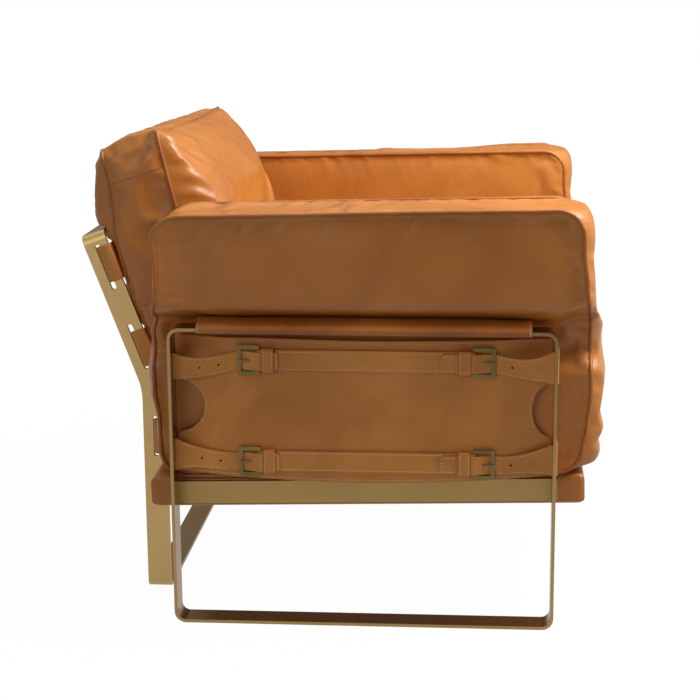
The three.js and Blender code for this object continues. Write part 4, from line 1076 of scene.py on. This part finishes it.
# %% Strap sizes
BAND_LAYER = 396.2
BAND_HALF = 16.5
LEATHER = 2.2
NOSE_FROM_END = {"rear": 102.0, "front": 93.0}
HEEL = 32.6
KEEPER_START, KEEPER_WIDTH, KEEPER_THICK = 38.0, 18.0, 1.8
TIP = {"rear": 63.0, "front": 85.0}
TIP_TAPER = {"rear": 0.06, "front": 0.4}
TIP_LENGTH = 11.0
LEVELS = {
    "upper": {"middle": 416.0, "rear": (408.0, 21.5), "front": (413.5, 26.5), "sag": 7.0},
    "lower": {"middle": 255.0, "rear": (267.0, 26.0), "front": (267.0, 26.5), "sag": 2.0},
}
ENDS = ("rear", "front")
TAB_HALF = 14.6
TAB_FLARE = 27.0
TAB_DROP = 1.2
TAB_UNDER_NOSE, TAB_OVER_HEEL, TAB_IN_KEEPER = 394.4, 402.6, 398.8
STRIP_IN, STRIP_OUT = 388.4, 405.7


def end_x(end, x):
    """A place along X that counts from the rear bar, or back from the front bar."""
    return x if end == "rear" else LOOP_LENGTH - x


def tab_route(end):
    """The tab's middle layer in X and Y, from under itself, round the bar's strip and out to its tip."""
    nose = NOSE_FROM_END[end]
    keeper = nose + KEEPER_START
    points = [
        (7.6, STRIP_IN + 8), (6.6, STRIP_IN + 2.2), (4.6, STRIP_IN), (0.6, STRIP_IN), (-1.6, STRIP_IN + 2.2),
        (-1.7, 397.0), (-1.6, STRIP_OUT - 2.2), (0.6, STRIP_OUT), (5.0, STRIP_OUT), (9.0, STRIP_OUT - 0.3),
        (nose * 0.36, 401.0), (nose * 0.7, 396.4), (nose + 2, TAB_UNDER_NOSE), (nose + 12, 395.2),
        (nose + 22, 399.0), (nose + HEEL, TAB_OVER_HEEL), (keeper, 400.1), (keeper + 9, TAB_IN_KEEPER),
        (keeper + KEEPER_WIDTH, TAB_IN_KEEPER), (nose + TIP[end], TAB_IN_KEEPER),
    ]
    return smooth_route([Vector((end_x(end, x), y, 0)) for x, y in points], TAB_STEPS)


def tab_edges(level, end, x):
    """The lower and upper edge of a tab at a place counted from its own bar."""
    facts = LEVELS[level]
    nose = NOSE_FROM_END[end]
    share = clamp(x / nose)
    bar_centre, bar_half = facts[end]
    centre = blend(bar_centre, facts["middle"] - TAB_DROP, eased(share)) - facts["sag"] * math.sin(math.pi * share)
    half = TAB_HALF + (bar_half - TAB_HALF) * math.exp(-(max(0.0, x) / TAB_FLARE) ** 1.3)
    into_tip = max(0.0, (x - nose - TIP[end]) / TIP_LENGTH + 1)
    half *= 1 - TIP_TAPER[end] * into_tip ** 3
    return centre - half, centre + half


# %% Tabs
TAB_STEPS = 110
TAB_SEAM_INSET = 3.0
TAB_SURFACE = LEATHER / 2 + 0.25
TAB_SEAMS = ((26, 66), (98, 110))
TAB_HOLES = {"rear": (30.0, 59.0), "front": (26.0,)}
HOLE_RADIUS, HOLE_DEPTH = 1.7 * MM, 0.3 * MM
# The holes are not cut: each is a thin dark disc on the tab, painted shade for the dark inside of a hole.
punched = brass("punched_hole_shadow", "#3A2414", "#2A180C", 0.9, ALONG_Z)
tab_rows = []
hole_form = bmesh.new()
for level in LEVELS:
    for end in ENDS:
        route = tab_route(end)

        def tab_place(u, v, inset=0.0, lift=0.0, route=route, level=level, end=end):
            place = route[round(u * (len(route) - 1))]
            low, high = tab_edges(level, end, end_x(end, place.x))
            return at(place.x, -(place.y + lift), low + inset + (high - low - 2 * inset) * v)

        tab = flat_leather(f"tab_leather_{level}_{end}_R", TAB_STEPS, 8, tab_place, LEATHER, strap_leather)
        both_sides(tab, f"tab_{level}_{end}")
        for edge in (0.0, 1.0):
            for first, last in TAB_SEAMS:
                row = [tab_place(u / TAB_STEPS, edge, TAB_SEAM_INSET, TAB_SURFACE) for u in range(first, last, 2)]
                tab_rows.append((row, OUT))
        inward = Vector((TAB_SEAM_INSET * MM * (-1 if end == "rear" else 1), 0, 0))
        tip_row = [tab_place(1.0, v / 6, TAB_SEAM_INSET, TAB_SURFACE) + inward for v in range(7)]
        tab_rows.append((tip_row, OUT))
        for before_nose in TAB_HOLES[end]:
            wanted = NOSE_FROM_END[end] - before_nose
            step = min(range(*TAB_SEAMS[0]), key=lambda u: abs(end_x(end, route[u].x) - wanted))
            middle = tab_place(step / TAB_STEPS, 0.5, 0.0, LEATHER / 2)
            turn = Matrix.Translation(middle) @ Matrix.Rotation(math.pi / 2, 4, "X")
            bmesh.ops.create_cone(
                hole_form, cap_ends=True, segments=14, radius1=HOLE_RADIUS, radius2=HOLE_RADIUS, depth=HOLE_DEPTH,
                matrix=turn,
            )
both_sides(new_piece("tab_holes_R", hole_form, punched))
stitch("tab_stitches_R", tab_rows)

# %% Middle bands and keepers
EYE = 2.8
HEEL_AXIS = 397.2
BAND_SEAM_INSET = 3.2
BAND_STEPS, KEEPER_STEPS = 120, 60
KEEPER_HALF = BAND_HALF + 1.4
KEEPER_IN, KEEPER_OUT = 394.2, 402.2
KEEPER_SEAMS = (0.12, 0.88)
band_rows = []
for level, facts in LEVELS.items():
    rear = NOSE_FROM_END["rear"] + HEEL
    front = LOOP_LENGTH - NOSE_FROM_END["front"] - HEEL
    middle = facts["middle"]
    fold = [
        (rear + 22, HEEL_AXIS + 1.6), (rear + 8, HEEL_AXIS + 2.2), (rear + 2, HEEL_AXIS + EYE),
        (rear - 2, HEEL_AXIS + 2.2), (rear - EYE, HEEL_AXIS), (rear - 2, HEEL_AXIS - 2.2),
        (rear + 2, HEEL_AXIS - 2.6), (rear + 9, BAND_LAYER - 0.4), (rear + 40, BAND_LAYER),
    ]
    points = [*fold, (front - 40, BAND_LAYER)]
    points += [(rear + front - x, y) for x, y in reversed(fold[:-1])]
    route = smooth_route([Vector((x, y, 0)) for x, y in points], BAND_STEPS)

    def band_place(u, v, route=route, middle=middle):
        place = route[round(u * BAND_STEPS)]
        return at(place.x, -place.y, middle - BAND_HALF + 2 * BAND_HALF * v)

    band = flat_leather(f"strap_band_{level}_R", BAND_STEPS, 4, band_place, LEATHER, strap_leather)
    both_sides(band, f"strap_{level}")
    for edge in (-1, 1):
        z = middle + edge * (BAND_HALF - BAND_SEAM_INSET)
        y = -(BAND_LAYER + TAB_SURFACE)
        band_rows.append(([at(x, y, z) for x in (rear + 30, (rear + front) / 2, front - 48)], OUT))

    for end in ENDS:
        start = NOSE_FROM_END[end] + KEEPER_START
        side = [
            (KEEPER_OUT, KEEPER_HALF * 0.5), (KEEPER_OUT - 0.6, KEEPER_HALF - 0.6),
            (KEEPER_OUT - 3, KEEPER_HALF + 0.4), (KEEPER_IN + 3, KEEPER_HALF + 0.4),
            (KEEPER_IN + 0.5, KEEPER_HALF - 0.8), (KEEPER_IN, KEEPER_HALF * 0.5),
        ]
        ring = [(KEEPER_OUT, -KEEPER_HALF * 0.5), *side, *((y, -z) for y, z in reversed(side))]
        turn = smooth_route([Vector((y, z, 0)) for y, z in ring], KEEPER_STEPS)

        def keeper_place(u, v, turn=turn, start=start, end=end, middle=middle):
            place = turn[round(u * KEEPER_STEPS)]
            return at(end_x(end, start + KEEPER_WIDTH * v), -place.x, middle + place.y)

        keeper_name = f"keeper_{level}_{end}_R"
        both_sides(flat_leather(keeper_name, KEEPER_STEPS, 4, keeper_place, KEEPER_THICK, strap_leather))
        for v in KEEPER_SEAMS:
            x = end_x(end, start + KEEPER_WIDTH * v)
            y = -(KEEPER_OUT + 1.1)
            band_rows.append(([at(x, y, middle + z) for z in (-KEEPER_HALF + 2, 0, KEEPER_HALF - 2)], OUT))
stitch("band_stitches_R", band_rows)

# %% [markdown]
# The loop's top bar is wrapped in a sewn sleeve with a little wadding on its upper side, where an arm may touch it.
# The sleeve is a closed section drawn in Y and Z and carried along the bar, with a slight unevenness.

# %% Arm sleeves
SLEEVE_ENDS = (45.0, 551.0)
SLEEVE_SECTION = [
    (391.0, 465.6), (431.0, 465.6), (433.6, 467.0), (434.2, 470.5), (432.8, 474.0), (424.0, 479.8),
    (412.0, 485.4), (402.0, 483.6), (393.0, 479.0), (389.6, 475.6), (389.3, 468.0), (391.0, 465.6),
]
SLEEVE_THICK = 1.6
SLEEVE_STEPS = 48
SLEEVE_SIDE_TOP, SLEEVE_SHOULDER = 476.0, 6.0

# The unevenness of the sleeve's upper side: height, length and start of each wave
SLEEVE_WAVES = [(0.3, 31.0, 0.0), (0.24, 13.0, 2.0)]
sleeve_turn = smooth_route([Vector((y, z, 0)) for y, z in SLEEVE_SECTION], SLEEVE_STEPS)


def sleeve_place(u, v):
    place = sleeve_turn[round(v * SLEEVE_STEPS)]
    x = blend(*SLEEVE_ENDS, u)
    wave = sum(height * math.sin(x / length + start) for height, length, start in SLEEVE_WAVES)
    return at(x, -place.x, place.y + wave * clamp((place.y - SLEEVE_SIDE_TOP) / SLEEVE_SHOULDER))


sleeve = flat_leather(
    "arm_sleeve_cover_R", 120, SLEEVE_STEPS, sleeve_place, SLEEVE_THICK, sleeve_leather, edge=0.4
)
both_sides(sleeve, "arm_sleeve")
SLEEVE_SEAM_INSET = 3.0
ON_SLEEVE_SLOPE = Vector((0, -0.45, 0.89))
sleeve_rows = []
for near in (SLEEVE_ENDS[0] + SLEEVE_SEAM_INSET, SLEEVE_ENDS[1] - SLEEVE_SEAM_INSET):
    sleeve_rows.append(([at(near, -435.3, 467.6), at(near, -435.2, 472.5)], OUT))
    sleeve_rows.append(([at(near, -432.6, 475.6), at(near, -414.0, 486.0)], ON_SLEEVE_SLOPE))
stitch("sleeve_stitches_R", sleeve_rows)

# %% [markdown]
# The slings carry the back cushion. Each is a band that comes out of the slot of one upright, turns round its
# front strip and crosses to the other upright, where it does the same.

# %% Back slings
SLING_THICK = 2.6
SLING_STEPS = 160
SLING_ROUTE = [
    (36, 279.8), (26, 279.8), (19.4, 281.4), (17.8, 285.5), (19.0, 289.6), (24.4, 291.6), (32, 291.9),
    (37.8, 291.2), (39.7, 288.6), (39.8, 280.0), (39.8, 240.0), (39.8, 120.0),
]
SLINGS = {
    "upper": {"edges": (178.5, 238.0), "leans": True},
    "middle": {"edges": (32.0, 92.0), "leans": True},
    "lower": {"edges": (231.0, 288.0), "leans": False},
}


def on_back_frame(across, along, y, leans):
    """A place on the back frame, from its own directions across and along the uprights."""
    if not leans:
        return at(FRAME_KINK[0] + across, y, along)
    x = FRAME_KINK[0] + across * math.cos(FRAME_LEAN) - along * math.sin(FRAME_LEAN)
    z = FRAME_KINK[1] + across * math.sin(FRAME_LEAN) + along * math.cos(FRAME_LEAN)
    return at(x, y, z)


half_route = [Vector((across, -y, 0)) for across, y in SLING_ROUTE]
full_route = half_route + [Vector((place.x, -place.y, 0)) for place in reversed(half_route)]
sling_route = smooth_route(full_route, SLING_STEPS)
for name, facts in SLINGS.items():

    def sling_place(u, v, facts=facts):
        place = sling_route[round(u * SLING_STEPS)]
        return on_back_frame(place.x, blend(*facts["edges"], v), place.y, facts["leans"])

    sling_name = f"back_sling_band_{name}"
    sling = flat_leather(sling_name, SLING_STEPS, 10, sling_place, SLING_THICK, strap_leather, edge=0.7)
    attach(sling, FRAME_BODY)
    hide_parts(f"back_sling_{name}")

# %% [markdown]
# The seat platform is a board with a thin pad, pulled over with leather and tacked underneath, so its edges are
# round but firm. It has two notches at the back, where the uprights stand.

# %% Seat platform
DECK_CELLS = (86, 96, 10)
DECK_REAR, DECK_FRONT = -40.0, 637.0
DECK_HALF = 383.3
DECK_LOW, DECK_HIGH = -8.0, 43.0
NOTCH_OUT, NOTCH_IN = 290.2, 281.5
NOTCH_FRONT = -30.0
NOTCH_STEP = 0.4
DECK_EDGE, DECK_SIDE_EDGE = 11.0, 9.0

# The grid lines spread over the width so that some fall on the notches' edges
DECK_MARKS = [
    (0.0, -DECK_HALF), (0.12, -NOTCH_OUT), (0.13, -NOTCH_OUT + NOTCH_STEP), (0.15, -NOTCH_IN - NOTCH_STEP),
    (0.16, -NOTCH_IN), (0.84, NOTCH_IN), (0.85, NOTCH_IN + NOTCH_STEP), (0.87, NOTCH_OUT - NOTCH_STEP),
    (0.88, NOTCH_OUT), (1.0, DECK_HALF),
]


def deck_place(u, v, w):
    """u runs to the front, v from the sitter's right to left, w upwards."""
    length = DECK_FRONT - DECK_REAR
    height = DECK_HIGH - DECK_LOW
    flat_x, flat_z = in_rounded_box(u * length, w * height, length, height, DECK_EDGE)
    from_side = spread(v, DECK_MARKS, smooth=False) + DECK_HALF
    flat_y, side_z = in_rounded_box(from_side, flat_z, 2 * DECK_HALF, height, DECK_SIDE_EDGE)
    x = DECK_REAR + flat_x
    y = flat_y - DECK_HALF
    if NOTCH_IN + NOTCH_STEP / 2 < abs(y) < NOTCH_OUT - NOTCH_STEP / 2:
        x = max(x, NOTCH_FRONT)
    return on_seat(x, y, DECK_LOW + side_z)


form = cube_grid(*DECK_CELLS)
for vertex in form.verts:
    vertex.co = deck_place(*vertex.co)
bmesh.ops.recalc_face_normals(form, faces=form.faces)
deck = new_piece("seat_deck_cover", form, cushion_leather)
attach(deck, FRAME_BODY)
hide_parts("seat_deck")
